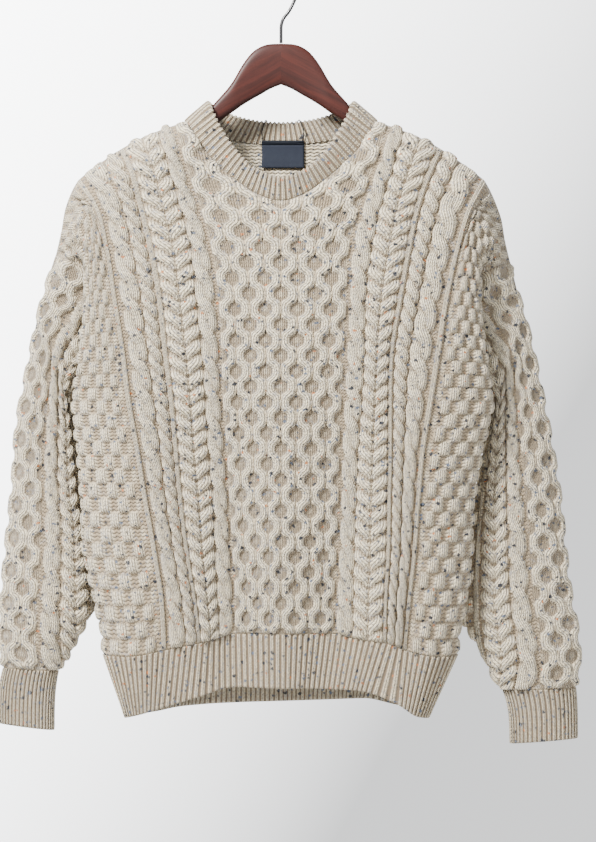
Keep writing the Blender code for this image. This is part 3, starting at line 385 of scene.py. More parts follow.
def wool_material(name):
    g = material_graph(name)
    place = g.place()
    uv = g.add("ShaderNodeUVMap", uv_map="stitches")
    across, upward = g.part(uv, 0), g.part(uv, 1)
    purl = g.add("ShaderNodeAttribute", output=2, attribute_name="purl")
    # How deep each corner lies: it sets the painted tan shade in the hollows
    hollow_shade = g.add("ShaderNodeAttribute", output=2, attribute_name="hollow_shade")

    # Distance from the stitch's middle, 0 to 1, then the leg across and the V along
    from_middle = g.times(g.math("ABSOLUTE", g.math("SUBTRACT", g.math("FRACT", across), 0.5)), 2.0)
    leg = g.math("POWER", g.math("SINE", g.times(from_middle, math.pi)), 0.7)
    leaning = g.math("FRACT", g.math("MULTIPLY_ADD", from_middle, -0.62, upward))
    rounding = g.math("POWER", g.math("SINE", g.times(leaning, math.pi)), 0.55)
    knit = g.times(leg, g.math("MULTIPLY_ADD", rounding, 0.62, 0.38))

    # The purl stitch's head: arches that follow the cosine across the stitch
    arch = g.math("COSINE", g.times(across, 2 * math.pi))
    arched = g.math("FRACT", g.math("MULTIPLY_ADD", arch, 0.16, upward))
    head = g.math("POWER", g.math("SINE", g.times(arched, math.pi)), 0.6)
    relief = g.add("ShaderNodeMix", {0: purl, 2: knit, 3: head}, data_type="FLOAT")

    # Fibres: fine noise stretched along the yarn
    stretched = g.add("ShaderNodeCombineXYZ", {0: g.times(across, 7.0), 1: g.times(upward, 1.6)})
    fibre = g.noise(stretched, 1.6, 3.0, 0.6)
    height = g.math("MULTIPLY_ADD", fibre, 0.35, relief)

    # Cream in two tones, grey streaks along the yarn, brown pepper, grey smudges; painted shade: tan hollows,
    # dark grooves
    haze = g.ramp(g.noise(place, 95.0, 3.0, 0.6), 0.35, 0.7)
    streak = g.ramp(g.noise(stretched, 0.55, 2.0, 0.55), 0.45, 0.66)
    pepper = g.ramp(g.noise(place, 620.0, 2.0, 0.7), 0.52, 0.66)
    smudge = g.ramp(g.noise(place, 150.0, 2.0, 0.6), 0.56, 0.72)
    # Painted shade: where the stitch relief is low, between legs and rows, the colour darkens to brown
    groove = g.ramp(relief, 0.72, 0.08)
    tone = g.mix(haze, (0.93, 0.815, 0.575), (0.80, 0.685, 0.465))
    for share, colour, most in (
        (streak, (0.36, 0.36, 0.355), 0.75),
        (pepper, (0.30, 0.25, 0.185), 0.75),
        # painted shade in the hollows, tan because light sinks into the yarn
        (hollow_shade, (0.26, 0.19, 0.115), 0.86),
        (smudge, (0.36, 0.37, 0.40), 0.45),
        # painted shade in the grooves of the stitch relief
        (groove, (0.14, 0.102, 0.064), 0.88),
    ):
        tone = g.mix(share, tone, colour, most)

    # Neps are drawn out along the yarn, so their cells are bent by a little noise
    warp = g.add("ShaderNodeTexNoise", {"Vector": place, "Scale": 260.0}, output=1)
    bent = g.vector_math("ADD", place, g.vector_math("MULTIPLY", warp, (0.007, 0.004, 0.003)))
    for number, (size, chosen, reach, colour) in enumerate(NEPS):
        moved = g.vector_math("ADD", bent, (0.13 * number, 0.07, 0.05))
        tone = g.mix(g.spots(moved, NEP_CELL * size, chosen, reach), tone, colour)

    return g.set(
        Base_Color=tone, Roughness=0.92, Normal=g.bump(height, 1.6 * MM), Specular_IOR_Level=0.25,
        Sheen_Weight=0.35, Sheen_Roughness=0.55, Sheen_Tint=(1.0, 0.97, 0.92, 1),
    )


wool = wool_material("oatmeal_wool")
print("material:", wool.name)

# %% [markdown]
# ## Label's cord loop
#
# A thin two-ply cord hangs in a loop over the back of the neckband, with both ends sewn in at the label's
# upper corners. It leaves the seam upwards, bends over the rib and sags behind it. A mesh tube shows the
# twist that a plain curve can't: its radius has two waves round the cord, which turn as they go along.


# %% Label's cord loop
LOOP_DIAMETER = 1.3
LOOP_POINTS = (
    (-21.0, 25.7, -176.7), (-21.6, 24.8, -168.0), (-19.8, 26.4, -160.0), (-17.4, 30.5, -153.6),
    (-16.0, 36.0, -154.8), (-14.6, 39.0, -160.5), (-11.5, 40.2, -167.5), (-5.0, 40.9, -172.6),
    (2.0, 41.0, -173.8), (9.0, 40.9, -172.4), (14.8, 40.2, -167.2), (17.4, 38.9, -160.5),
    (18.6, 36.0, -154.6), (20.4, 30.5, -153.4), (23.2, 26.4, -160.0), (25.4, 24.8, -168.0),
    (25.0, 25.6, -176.7),
)


def tube_frame(route):
    """Two unit vectors across a route at each point, carried along it without turning about it."""
    tangent = unit(np.gradient(route, axis=0))
    side = unit(np.cross(tangent[0], (0.3, 1.0, 0.2)))
    sides = []
    for direction in tangent:
        side = unit(side - direction * (side @ direction))
        sides.append(side)
    sides = np.array(sides)
    return sides, np.cross(tangent, sides)


def tube(route, radius, around):
    """Rings of points: centre + radius x (cosine of the turn x one side + its sine x the other)."""
    first, second = tube_frame(route)
    turn = 2 * np.pi * np.arange(around) / around
    ring = np.cos(turn)[:, None] * first[:, None] + np.sin(turn)[:, None] * second[:, None]
    return route[:, None] + ring * radius[..., None]


def tube_faces(rings, around):
    """Side cells of a tube and the two end faces."""
    numbers = np.arange(rings * around).reshape(rings, around)
    numbers = np.column_stack([numbers, numbers[:, 0]])
    ends = np.stack([numbers[0, :-1][::-1], numbers[-1, :-1]])
    return [cells(numbers), ends]


def cord_material(name, colour):
    g = material_graph(name)
    fibre = g.noise(g.place(), 2400.0, 3.0, 0.6)
    normal = g.bump(fibre, 0.1 * MM, 0.6)
    shade = g.mix(fibre, scaled(colour, 0.7), scaled(colour, 1.6))
    return g.set(Base_Color=shade, Roughness=0.9, Normal=normal, Specular_IOR_Level=0.1)


loop_route = along(LOOP_POINTS, np.linspace(0, 1, 150))
loop_around = 12
turn = 2 * np.pi * np.arange(loop_around) / loop_around
loop_reach = reach_of(loop_route)
twist = np.cos(2 * turn[None, :] - 2 * np.pi * loop_reach[:, None] / 4.2)
loop_radius = LOOP_DIAMETER / 2 * (0.9 + 0.1 * twist)
loop = mesh_object(
    "label_cord_loop",
    tube(loop_route, loop_radius, loop_around).reshape(-1, 3),
    tube_faces(len(loop_route), loop_around),
    cord_material("navy_cord", (0.005, 0.007, 0.012)),
)
dress(loop, "label_loop")
print("cord loop: %.0f mm long" % loop_reach[-1])

# %% [markdown]
# ## The sweater's form
#
# The hanging body could be a cloth simulation, but the real folds are known, so tables are surer: at a few
# heights they give where the honeycomb's edge, the plait, the two narrow ribs and the side fold lie, and how
# deep each is. Between the table rows and across the columns, smooth curves fill in. Each half of the body
# has its own columns, because the left and right sides of a hanging sweater are never the same.

# %% The sweater's form: tables
CELL = 8.55
NECK_SIDE_S = 7 * CELL
HONEYCOMB_S = 8 * CELL
PLAIT_START_S = 97.0
INNER_RIB_S = 138.0
OUTER_RIB_S = 193.0
SIDE_S = 292.5
RIB_TOP_Z = -730.0
ARMPIT_C = 260.0
FRONT_NECK_DROP = 90.0
BACK_NECK_DROP = 21.0
FRONT_NECK_Y = -31.0
BACK_NECK_Y = 30.0
SHOULDER_ROLL = 42.0
NECK_ROUNDNESS = 3.0
NECK_SIDE_C = 571.0

FRONT_COLUMNS = np.array((
    # z, honey_l, plait_l, inner_l, outer_l, fold_l, honey_r, plait_r, inner_r, outer_r, fold_r
    (-739, 50, 68, 90, 129, 198, 57, 80, 115, 137, 197),
    (-694, 50, 71, 95, 131, 207, 58, 81, 116, 141, 206),
    (-638, 53, 74, 104, 139, 219, 61, 82, 119, 147, 212),
    (-582, 56, 76, 111, 149, 222, 63, 84, 120, 151, 215),
    (-526, 59, 81, 116, 158, 227, 64, 86, 121, 156, 224),
    (-470, 63, 84, 121, 168, 233, 66, 90, 121, 165, 236),
    (-414, 65, 88, 128, 175, 227, 69, 93, 123, 174, 226),
    (-358, 68, 94, 134, 184, 216, 72, 94, 132, 183, 214),
    (-302, 76, 100, 144, 193, 212, 75, 101, 142, 196, 210),
    (-252, 90, 113, 156, 207, 215, 88, 112, 153, 212, 215),
    (-218, 102, 123, 165, 231, 234, 100, 123, 165, 231, 234),
    (-190, 110, 131, 178, 248, 250, 110, 131, 178, 248, 250),
    (-155, 119, 142, 198, 262, 265, 119, 142, 198, 265, 268),
), float)
FRONT_DEPTHS = np.array((
    # z, middle, honeycomb_edge, inner_rib, outer_rib
    (-739, -40, -31, -40, -40),
    (-694, -42, -32, -42, -44),
    (-638, -44, -33, -43, -46),
    (-582, -45, -35, -43, -47),
    (-526, -46, -38, -44, -48),
    (-470, -47, -42, -45, -48),
    (-414, -46, -44, -46, -47),
    (-358, -44, -44, -45, -45),
    (-302, -40, -41, -42, -41),
    (-252, -36, -37, -38, -37),
    (-200, -34, -35, -36, -36),
), float)
BACK_DEPTHS = np.array((
    # z, middle, honeycomb_edge, inner_rib, outer_rib
    (-739, 36, 30, 37, 33),
    (-638, 38, 31, 40, 35),
    (-526, 40, 34, 41, 36),
    (-470, 41, 36, 41, 38),
    (-358, 40, 38, 40, 42),
    (-302, 37, 37, 38, 40),
    (-252, 35, 35, 36, 38),
    (-200, 33, 33, 34, 36),
), float)
BACK_NARROWING = 0.93
SHOULDER_LINE = np.array((
    # s, height above the hem rib
    (NECK_SIDE_S, NECK_SIDE_C), (HONEYCOMB_S, 568), (PLAIT_START_S, 561),
    (INNER_RIB_S, 541), (OUTER_RIB_S, 506),
), float)
RIB_TOP_SAG = np.array((
    # s, how far the rib's upper edge hangs below its middle
    (0, 0), (70, 0), (97, 5), (138, 10), (193, 18), (235, 25), (262, 24), (292.5, 20),
), float)
SAG_FADE_C = 190.0
CAP_FRONT = np.array((
    # share, third_x, third_y, third_z, two_thirds_x, two_thirds_y, two_thirds_z, seam_x, seam_y, seam_z
    (0.00, 203, -40, -470, 234, -20, -470, 223, 10, -466),
    (0.25, 204, -42, -411, 226, -28, -416, 213, 5, -428),
    (0.50, 208, -42, -349, 220, -28, -361, 208, -2, -380),
    (0.65, 210, -41, -308, 220, -31, -324, 209, -8, -354),
    (0.75, 213, -36, -281, 228, -30, -304, 215, -13, -336),
    (0.87, 222, -27, -262, 236, -24, -292, 237, -16, -323),
    (1.00, 245, -1, -262, 251, 1, -292, 257, 4, -316),
), float)
CAP_BACK = np.array((
    # share, third_x, third_y, third_z, two_thirds_x, two_thirds_y, two_thirds_z, seam_x, seam_y, seam_z
    (0.00, 182, 33, -470, 208, 24, -469, 223, 10, -466),
    (0.25, 188, 38, -411, 204, 37, -419, 213, 29, -428),
    (0.50, 195, 42, -349, 206, 43, -362, 210, 36, -380),
    (0.65, 203, 43, -308, 215, 44, -324, 214, 39, -352),
    (0.75, 212, 40, -281, 226, 41, -302, 221, 38, -335),
    (0.87, 222, 31, -262, 237, 33, -291, 240, 29, -324),
    (1.00, 245, -1, -262, 251, 1, -292, 257, 4, -316),
), float)
LEFT_CAP_LIFT = 9.0
LEFT_CAP_NARROWING = 0.982
SIDE_STATIONS = (226.0, 259.0, SIDE_S)
SIDE_FRONT = ((0.50, -41.0), (1.5, -19.0), (13.0, 9.0))
SIDE_BACK = ((0.40, 32.0), (24.0, 24.0), (13.0, 9.0))
print("the body is knitted %.0f mm wide and %.0f mm tall above the rib" % (2 * SIDE_S, NECK_SIDE_C))

# %% [markdown]
# ## The sweater's form: surfaces
#
# share runs from 0 at the hem rib over 1 at the armpit to 2 at the neckline and the shoulder. Inside the
# outer ribs the rows hang level, so a point's height follows from its row. Outside them the cloth turns back
# to the side seam, or over the hanger's end down to the armhole, so three guide points a row lead it.


# %% The sweater's form: surfaces
def top_height(s, neck_drop):
    """Panel's upper edge: a round neckline, (1 - share squared) to the power 0.87, then the shoulder."""
    r = np.clip(np.abs(s) / NECK_SIDE_S, 0, 1)
    neckline = NECK_SIDE_C - neck_drop * (1 - r**2) ** 0.87
    shoulder = smooth(np.abs(s), SHOULDER_LINE[:, 0], SHOULDER_LINE[:, 1])
    return np.where(np.abs(s) < NECK_SIDE_S, neckline, shoulder)


def chart_height(s, share, front):
    """Height c on the knitting chart: even rows to the armpit, then an even share of what is left."""
    top = top_height(s, FRONT_NECK_DROP if front else BACK_NECK_DROP)
    return np.where(share < 1, share * ARMPIT_C, ARMPIT_C + (share - 1) * (top - ARMPIT_C)), top


def row_curve(s, knots, places, level_start):
    """Cubic along s through each point's own row of places at the knots, with averaged slopes."""
    knots = np.asarray(knots, float)
    s = np.clip(s, knots[0], knots[-1])
    step = np.diff(knots)
    slope = np.diff(places, axis=1) / step
    inner = (slope[:, :-1] * step[1:] + slope[:, 1:] * step[:-1]) / (step[1:] + step[:-1])
    tangent = np.column_stack([slope[:, 0] * (not level_start), inner, slope[:, -1]])
    i = stretch_of(s, knots)
    row = np.arange(len(s))
    u = (s - knots[i]) / step[i]
    return cubic(u, step[i], places[row, i], places[row, i + 1], tangent[row, i], tangent[row, i + 1])


def hanging_z(s, c):
    """Height in the room: the chart height, less the sag of the rib's upper edge, which fades upwards."""
    sag = smooth(np.abs(s), RIB_TOP_SAG[:, 0], RIB_TOP_SAG[:, 1])
    return RIB_TOP_Z + c - sag * np.clip(1 - c / SAG_FADE_C, 0, 1) ** 2


def body_points(s, share, front):
    """Points inside the outer ribs: x from the columns, y from the depths, rolled over at the shoulder."""
    c, top = chart_height(s, share, front)
    z = hanging_z(s, c)
    at = smooth(z, FRONT_COLUMNS[:, 0], FRONT_COLUMNS[:, 1:])
    places = np.where((s < 0)[:, None], at[:, 0:4], at[:, 5:9])
    places = np.column_stack([np.zeros(len(s)), places])
    x = row_curve(np.abs(s), (0, HONEYCOMB_S, PLAIT_START_S, INNER_RIB_S, OUTER_RIB_S), places, False)
    x = np.where(s < 0, -x, x)
    if not front:
        x = x * (1 - (1 - BACK_NARROWING) * np.clip(2 - share, 0, 1))
    depths = FRONT_DEPTHS if front else BACK_DEPTHS
    deep = smooth(z, depths[:, 0], depths[:, 1:])
    y = row_curve(np.abs(s), (0, HONEYCOMB_S, INNER_RIB_S, OUTER_RIB_S), deep, True)
    r = np.clip(np.abs(s) / NECK_SIDE_S, 0, 1)
    neck_y = FRONT_NECK_Y if front else BACK_NECK_Y
    edge_y = neck_y * (1 - r**NECK_ROUNDNESS) ** (1 / NECK_ROUNDNESS)
    below = np.clip((top - c) / SHOULDER_ROLL, 0, 1)
    y = edge_y + (y - edge_y) * np.sqrt(1 - (1 - below) ** 2)
    return np.stack([x, y, z], axis=1)


def side_lower(z, side, places):
    """Three guide points a row below the armpit: half-way to the fold, behind it, and the side seam."""
    first = 4 if side < 0 else 9
    at = smooth(z, FRONT_COLUMNS[:, 0], FRONT_COLUMNS[:, first : first + 2])
    outer, fold = at[..., 0], at[..., 1]
    half_way = outer[:, 0] + places[0][0] * (fold - outer)[:, 0]
    x = [half_way, fold[:, 1] - places[1][0], fold[:, 2] - places[2][0]]
    y = np.broadcast_to([y for _, y in places], z.shape)
    return np.stack([np.stack(x, axis=1), y, z], axis=2)


def side_guides(share, side, front):
    """Guide points outside the outer rib for each row, turned to the wearer's left by mirroring x."""
    cap = CAP_FRONT if front else CAP_BACK
    places = SIDE_FRONT if front else SIDE_BACK
    t = np.clip(share - 1, 0, 1)
    upper = smooth(t, cap[:, 0], cap[:, 1:]).reshape(-1, 3, 3)
    armpit = cap[0, 1:].reshape(3, 3).copy()
    if side < 0:
        upper[:, :, 0] *= LEFT_CAP_NARROWING
        armpit[:, 0] *= LEFT_CAP_NARROWING
        upper[:, :, 2] += LEFT_CAP_LIFT * t[:, None] ** 2
    c = np.clip(share, 0, 1) * ARMPIT_C
    z = np.stack([hanging_z(np.full(len(c), s), c) for s in SIDE_STATIONS], axis=1)
    lower = side_lower(z, side, places)
    gap = armpit - side_lower(np.full((1, 3), RIB_TOP_Z + ARMPIT_C), side, places)[0]
    lower = lower + gap * np.clip(share, 0, 1)[:, None, None] ** 3
    points = np.where((share < 1)[:, None, None], lower, upper)
    points[:, :, 0] *= side
    return points


def panel_grid(columns, shares, front):
    """Grid of points of the front or back, rows by columns."""
    s, share = np.meshgrid(columns, shares)
    inside = np.clip(s, -OUTER_RIB_S, OUTER_RIB_S)
    grid = body_points(inside.ravel(), share.ravel(), front).reshape(s.shape + (3,))
    for side in (-1, 1):
        outside = columns * side > OUTER_RIB_S
        ribs = (INNER_RIB_S, OUTER_RIB_S)
        anchors = [body_points(np.full(len(shares), side * rib), shares, front) for rib in ribs]
        guide = np.concatenate([anchors, side_guides(shares, side, front).transpose(1, 0, 2)])
        around = rounded(np.abs(columns[outside]), (*ribs, *SIDE_STATIONS), guide)
        grid[:, outside] = around.transpose(1, 0, 2)
    return grid


# %% [markdown]
# ## Cables as strands
#
# A cable is made by letting groups of stitches swap places, so each group is a strand that swings from side
# to side. The strand's centre line is a sine, sharpened so that it runs straight between the crossings and
# leans over quickly at each. Its crown is high where it passes in front and low where it passes behind.
# The surface is simply the highest strand at each place. A honeycomb is the same with strands that swing
# towards a neighbour and away again, and a plait is two ropes that lean against each other.


# %% Cables as strands
WALE = 4.3
COURSE = 3.85
COLUMN_HALF = 1.45
HONEYCOMB_PERIOD = 34.2
PURL, KNIT = -1, -2
STILL = dict(swing=0.0, turn=20.0, start=0.0, rise=0.0, sharp=0.0, base=0.0)


def one_strand(centre, half, crown, wales, bow, **more):
    """One strand: its middle, half its width, its crown's height, stitches across, and how square it is.

    More can make it swing over a turn's length, start within the turn, rise in front, cross sharply or lie on
    a base. Without anything more it stands straight up.
    """
    return dict(centre=centre, half=half, crown=crown, wales=wales, bow=bow) | STILL | more


def wave_strands(numbers):
    """Honeycomb: neighbours swing opposite ways, level with each other, two stitches wide."""
    wave = dict(turn=HONEYCOMB_PERIOD, start=0.25, sharp=0.26)
    ways = [1 if k % 2 else -1 for k in range(len(numbers))]
    return [
        one_strand(CELL * number, 5.5, 4.4, 2, 3.4, swing=4.25 * way, **wave)
        for number, way in zip(numbers, ways)
    ]


def rope_strands(centre, width, period, lean, sharp=0.0):
    """Rope: two strands half a turn apart. lean +1 puts the falling diagonal in front, -1 the rising one.

    A sharp rope is a broad one: its strands lie close together and cross quickly, so it looks like a row of
    ovals.
    """
    swing, half, wales, bow, rise = (0.20, 0.315, 3, 2.7, 3.1) if sharp else (0.2375, 0.28, 2, 2.3, 2.4)
    turning = dict(swing=swing * width * lean, turn=2 * period, rise=rise, sharp=sharp, base=1.0)
    return [one_strand(centre, half * width, 3.6, wales, bow, start=at, **turning) for at in (0.0, 0.5)]


def narrow_rib(*centres):
    """Columns of knit stitches side by side that stand straight up between purl columns."""
    return [one_strand(centre, COLUMN_HALF, 3.0, 1, 2.4) for centre in centres]


def strand_shape(strand, s, c):
    """Height, stitch and row of one strand at places (s, c). Where it doesn't reach, the height is -9.

    angle = turn x (c / turn length + start), sharpened by its own double angle. The centre swings with the
    angle's sine and rises with its cosine. Across the strand the crown is (1 - q^bow)^0.55.
    """
    angle = 2 * np.pi * (c / strand["turn"] + strand["start"])
    bent = angle + strand["sharp"] * np.sin(2 * angle)
    rate = 2 * np.pi / strand["turn"] * (1 + 2 * strand["sharp"] * np.cos(2 * angle))
    centre = strand["centre"] - strand["swing"] * np.sin(bent)
    slope = -strand["swing"] * np.cos(bent) * rate
    cosine = 1 / np.sqrt(1 + slope**2)
    away = (s - centre) * cosine
    q = np.abs(away) / (strand["half"] * (0.82 + 0.18 * cosine))
    crown = strand["crown"] * np.clip(1 - q ** strand["bow"], 0, 1) ** 0.55
    lift = strand["rise"] * np.cos(bent) ** (3 if strand["wales"] > 2 else 1)
    height = np.where(q < 1, strand["base"] + lift + crown, -9.0)
    stitch = away / (2 * strand["half"]) * strand["wales"] + 0.5 * (strand["wales"] % 2)
    row = (c + (s - centre) * slope * cosine**2) / COURSE
    return height, stitch, row, np.clip(1.5 * np.abs(slope), 0, 1)


def body_chart():
    """Strands of a whole panel, as seen from outside: the same chart serves the front and the back."""
    strands = wave_strands(range(-7, 8, 2))
    for side in (-1, 1):
        strands += rope_strands(side * 85.5, 23.0, 33.0, 1, 0.1)
        strands += rope_strands(side * 109.0, 24.0, 16.5, side)
        strands += rope_strands(side * 122.0, 24.0, 16.5, -side)
        strands += rope_strands(side * 151.0, 17.0, 16.5, 1)
        strands += rope_strands(side * 172.6, 24.0, 33.0, 1, 0.1)
        for rib in (INNER_RIB_S, OUTER_RIB_S):
            strands += narrow_rib(side * rib - COLUMN_HALF, side * rib + COLUMN_HALF)
    return strands


print("strands in the body's chart:", len(body_chart()))

# %% [markdown]
# ## Ground between the cables
#
# Between the cables the ground is purl, which lies low, except inside the honeycomb's cells, where upright
# knit stitches show. Towards the side seam the chart changes to basket weave: blocks of knit and purl that
# alternate like a chessboard, the knit blocks rounded up.


# %% Ground between the cables
BASKET_START = 202.5
BLOCK_WIDTH = 9.0
BLOCK_HEIGHT = 15.2
# Each strand reads the yarn's streaks this many stitches further on, so that neighbours differ
STITCH_SHIFT = 31.0


def basket(s, c, start):
    """Height and kind of the basket weave: rounded knit blocks where column + row is even, purl elsewhere.

    The knit blocks bulge over 1.2 columns and are rounder at their ends than along their sides.
    """
    across = (np.abs(s) - start) / BLOCK_WIDTH
    up = c / BLOCK_HEIGHT
    from_middle = np.abs((across - np.floor(up) % 2 + 0.5) % 2 - 1) / 0.6
    raised = (from_middle < 1) & (across > 0.1)
    v = up % 1
    dome = np.clip(1 - from_middle**2.6, 0, 1) ** 0.6 * np.clip(1 - np.abs(2 * v - 1) ** 3, 0, 1) ** 0.55
    return np.where(raised, 4.0 * dome, -0.6), raised


def ground(s, c, cell_edge, basket_start):
    """Height and kind (knit or purl) of the ground. cell_edge is where the honeycomb's cells end."""
    in_cells = np.abs(s) < cell_edge
    block, raised = basket(s, c, basket_start)
    in_basket = np.abs(s) > basket_start
    height = np.where(in_basket, block, np.where(in_cells, 0.35, 0.0))
    knit = np.where(in_basket, raised, in_cells)
    return height, knit


def knitted(strands, cell_edge, basket_start, s, c, only=None):
    """Height, stitch, row and winner at each place. The winner is the highest strand's number, or the ground.

    Where two crossing strands are level, a groove parts them. With only given, each place's stitch and row
    are those of that strand, so that a face keeps to one.
    """
    height, knit = ground(s, c, cell_edge, basket_start)
    winner = np.where(knit, KNIT, PURL)
    under = np.full(s.shape, -9.0)
    leaning = np.zeros(s.shape)
    stitch, row = s / WALE, c / COURSE
    for number, strand in enumerate(strands):
        reach = abs(strand["swing"]) + strand["half"] + 0.1
        near = np.abs(s - strand["centre"]) < reach if only is None else only == number
        if not near.any():
            continue
        own_height, own_stitch, own_row, own_leaning = strand_shape(strand, s[near], c[near])
        if only is None:
            best, second = height[near], under[near]
            better = own_height > best
            height[near] = np.where(better, own_height, best)
            beaten = np.where(winner[near] >= 0, best, -9.0)
            under[near] = np.where(better, beaten, np.maximum(second, own_height))
            leaning[near] = np.where(better, own_leaning, leaning[near])
            winner[near] = np.where(better, number, winner[near])
        else:
            stitch[near] = own_stitch + STITCH_SHIFT * number
            row[near] = own_row
    if only is None:
        height = height - 2.8 * leaning * np.exp((under - height) / 0.7)
    return height, stitch, row, winner


# %% [markdown]
# ## A knitted shell
#
# This puts it together for one piece: the height of the knitting raises the outer side along the form's
# normals, and each face keeps the stitch lines of the strand under its middle. The height fades near a seam,
# where the knitting is drawn flat. How deep a place lies is stored too, for the wool's painted shade in
# hollows.


# %% A knitted shell
WALL = 1.8
CROWN = 4.4


def blurred(values, reach):
    """Mean of each grid place with its neighbours up to reach cells away, first across, then up."""
    for axis in (0, 1):
        width = [(0, 0), (0, 0)]
        width[axis] = (reach, reach)
        padded = np.pad(values, width, mode="edge")
        count = values.shape[axis]
        values = sum(np.take(padded, np.arange(k, k + count), axis=axis) for k in range(2 * reach + 1))
        values = values / (2 * reach + 1)
    return values


def hollow_shading(height):
    """How deep a place lies, 0 to 1, for painted shade: a little for being low, mostly for lower than around
    it.
    """
    below = np.clip((blurred(height, 3) - height) / 1.2, 0, 1)
    return np.clip(0.42 * (1 - height / CROWN) + below, 0, 1)


def inner_corners(faces, columns):
    """Numbers on the outer grid of the inner faces' corners: each inner place is every fourth outer one."""
    picks = len(range(0, columns, COARSE))
    start = faces[1].min()
    place = faces[1] - start
    return (place // picks) * COARSE * columns + (place % picks) * COARSE


def knitted_shell(names, base, normals, s, c, fade, chart, ring=False):
    """Closed shell from a grid of base points, their normals and their places (s, c) on the chart."""
    height = knitted(*chart, s, c)[0] * fade
    outer = base + normals * height[..., None]
    inner = (base - normals * WALL)[::COARSE, ::COARSE]
    piece, faces = shell_object(names, wool, outer, inner, ring)

    corners = faces[0]
    corner_s, corner_c = s.ravel()[corners], c.ravel()[corners]
    # Round an arm, the face at the seam has corners on both sides of it: all get the same sign
    jump = corner_s.max(axis=1) - corner_s.min(axis=1) > 60
    corner_s[jump] = -np.abs(corner_s[jump])
    only = np.repeat(knitted(*chart, corner_s.mean(axis=1), corner_c.mean(axis=1))[3], 4)
    _, stitch, row, _ = knitted(*chart, corner_s.ravel(), corner_c.ravel(), only)
    behind = inner_corners(faces, s.shape[1]).ravel()
    across = np.concatenate([stitch, s.ravel()[behind] / WALE])
    upward = np.concatenate([row, c.ravel()[behind] / COURSE])
    # Painted shade: the inner side is darker behind the outside's raised strands, and the outer side in its
    # hollows
    inside_shade = 0.05 + 0.45 * np.clip(height.ravel()[behind] / CROWN, 0, 1)
    outside = hollow_shading(height).ravel()[corners.ravel()]
    set_stitches(piece, across, upward, (only == PURL).astype(float), np.concatenate([outside, inside_shade]))
    print(names[0], "has", len(piece.data.polygons), "faces, relief up to %.1f mm" % height.max())
    return piece


# %% [markdown]
# ## Front and back
#
# The columns are closer together where cables are narrow. Both panels end in one shared direction along the
# side and shoulder seams, so that the two walls meet as cloth does, with no step between them.

# %% Front and back
COLUMN_STRETCHES = (
    # where the stretch ends, number of columns in it
    (68.4, 40), (75, 4), (96, 12), (98, 2), (133, 20), (143, 9), (159, 10), (161, 2),
    (185, 14), (189, 2), (197, 9), (202.5, 3), (SIDE_S, 40),
)
half_columns = np.zeros(1)
for end, steps in COLUMN_STRETCHES:
    half_columns = np.append(half_columns, np.linspace(half_columns[-1], end, steps + 1)[1:])
half_columns = np.append(half_columns[: 4 * (len(half_columns) // 4)], SIDE_S)
columns = np.concatenate([-half_columns[:0:-1], half_columns])
print("columns:", len(columns))


def seam_fade(s, c, top, width=5.0):
    """0 on the panel's edges and 1 a few millimetres inside them."""
    return ease((SIDE_S - np.abs(s)) / width) * ease((top - c) / width) * ease(c / width)


def share_normals(first, second, rows, edge):
    """Gives two walls that are sewn together the same end direction."""
    mean = unit(first[rows, edge] + second[rows, edge])
    first[rows, edge] = mean
    second[rows, edge] = mean


ROWS_BELOW, ROWS_ABOVE = 120, 144
below = np.arange(ROWS_BELOW) / ROWS_BELOW
above = 1 + np.arange(ROWS_ABOVE + 1) / ROWS_ABOVE
shares = np.concatenate([below, above])
front_grid = panel_grid(columns, shares, True)
back_grid = panel_grid(columns, shares, False)
front_normals = grid_normals(front_grid)
back_normals = -grid_normals(back_grid)
for edge in (0, -1):
    share_normals(front_normals, back_normals, slice(0, ROWS_BELOW + 1), edge)
shoulder = np.abs(columns) >= NECK_SIDE_S - 0.1
share_normals(front_normals, back_normals, -1, shoulder)
heights = front_grid[..., 2]
print("grid:", front_grid.shape, "front from z %.0f to %.0f mm" % (heights.min(), heights.max()))

# %% [markdown]
# ## Sleeves
#
# A sleeve starts on the armhole, whose points are the edges of the two panels, and blends within a few
# centimetres into an oval tube that hangs between the outer and the inner arm line. Round it, the chart is
# measured from the top of the arm, so that the cables keep their width where the sleeve narrows.


# %% Sleeves: lines and rings
RIGHT_OUTER = (
    (257, 4, -316), (266, 10, -352), (279, 14, -401), (294, 17, -470), (307, 19, -540),
    (314, 20, -587), (319, 20, -638), (326, 20, -694), (334, 20, -739), (335, 20, -770), (331, 20, -794),
)
RIGHT_INNER = (
    (223, 10, -466), (234, 22, -498), (226, 28, -545), (216, 27, -600), (207, 24, -660),
    (206, 22, -716), (220, 20, -745), (238, 20, -774), (251, 20, -797),
)
LEFT_OUTER = (
    (-252.4, 4, -307), (-263, 10, -340), (-272, 13, -377), (-287, 16, -448), (-296, 18, -494),
    (-301, 20, -560), (-308, 20, -628), (-314, 20, -700), (-316, 20, -745), (-312, 20, -772),
)
LEFT_INNER = (
    (-219, 10, -466), (-231, 23, -498), (-224, 28, -545), (-216, 27, -600), (-209, 24, -655),
    (-211, 22, -700), (-225, 20, -724), (-241, 20, -752), (-252, 20, -775),
)
SLEEVE_DEPTH = np.array(((0.0, 17.0), (0.12, 18.0), (0.35, 20.0), (0.75, 21.0), (0.92, 20.0), (1.0, 17.0)))
SLEEVE_ROWS = 224
ARMHOLE_BLEND = 0.12


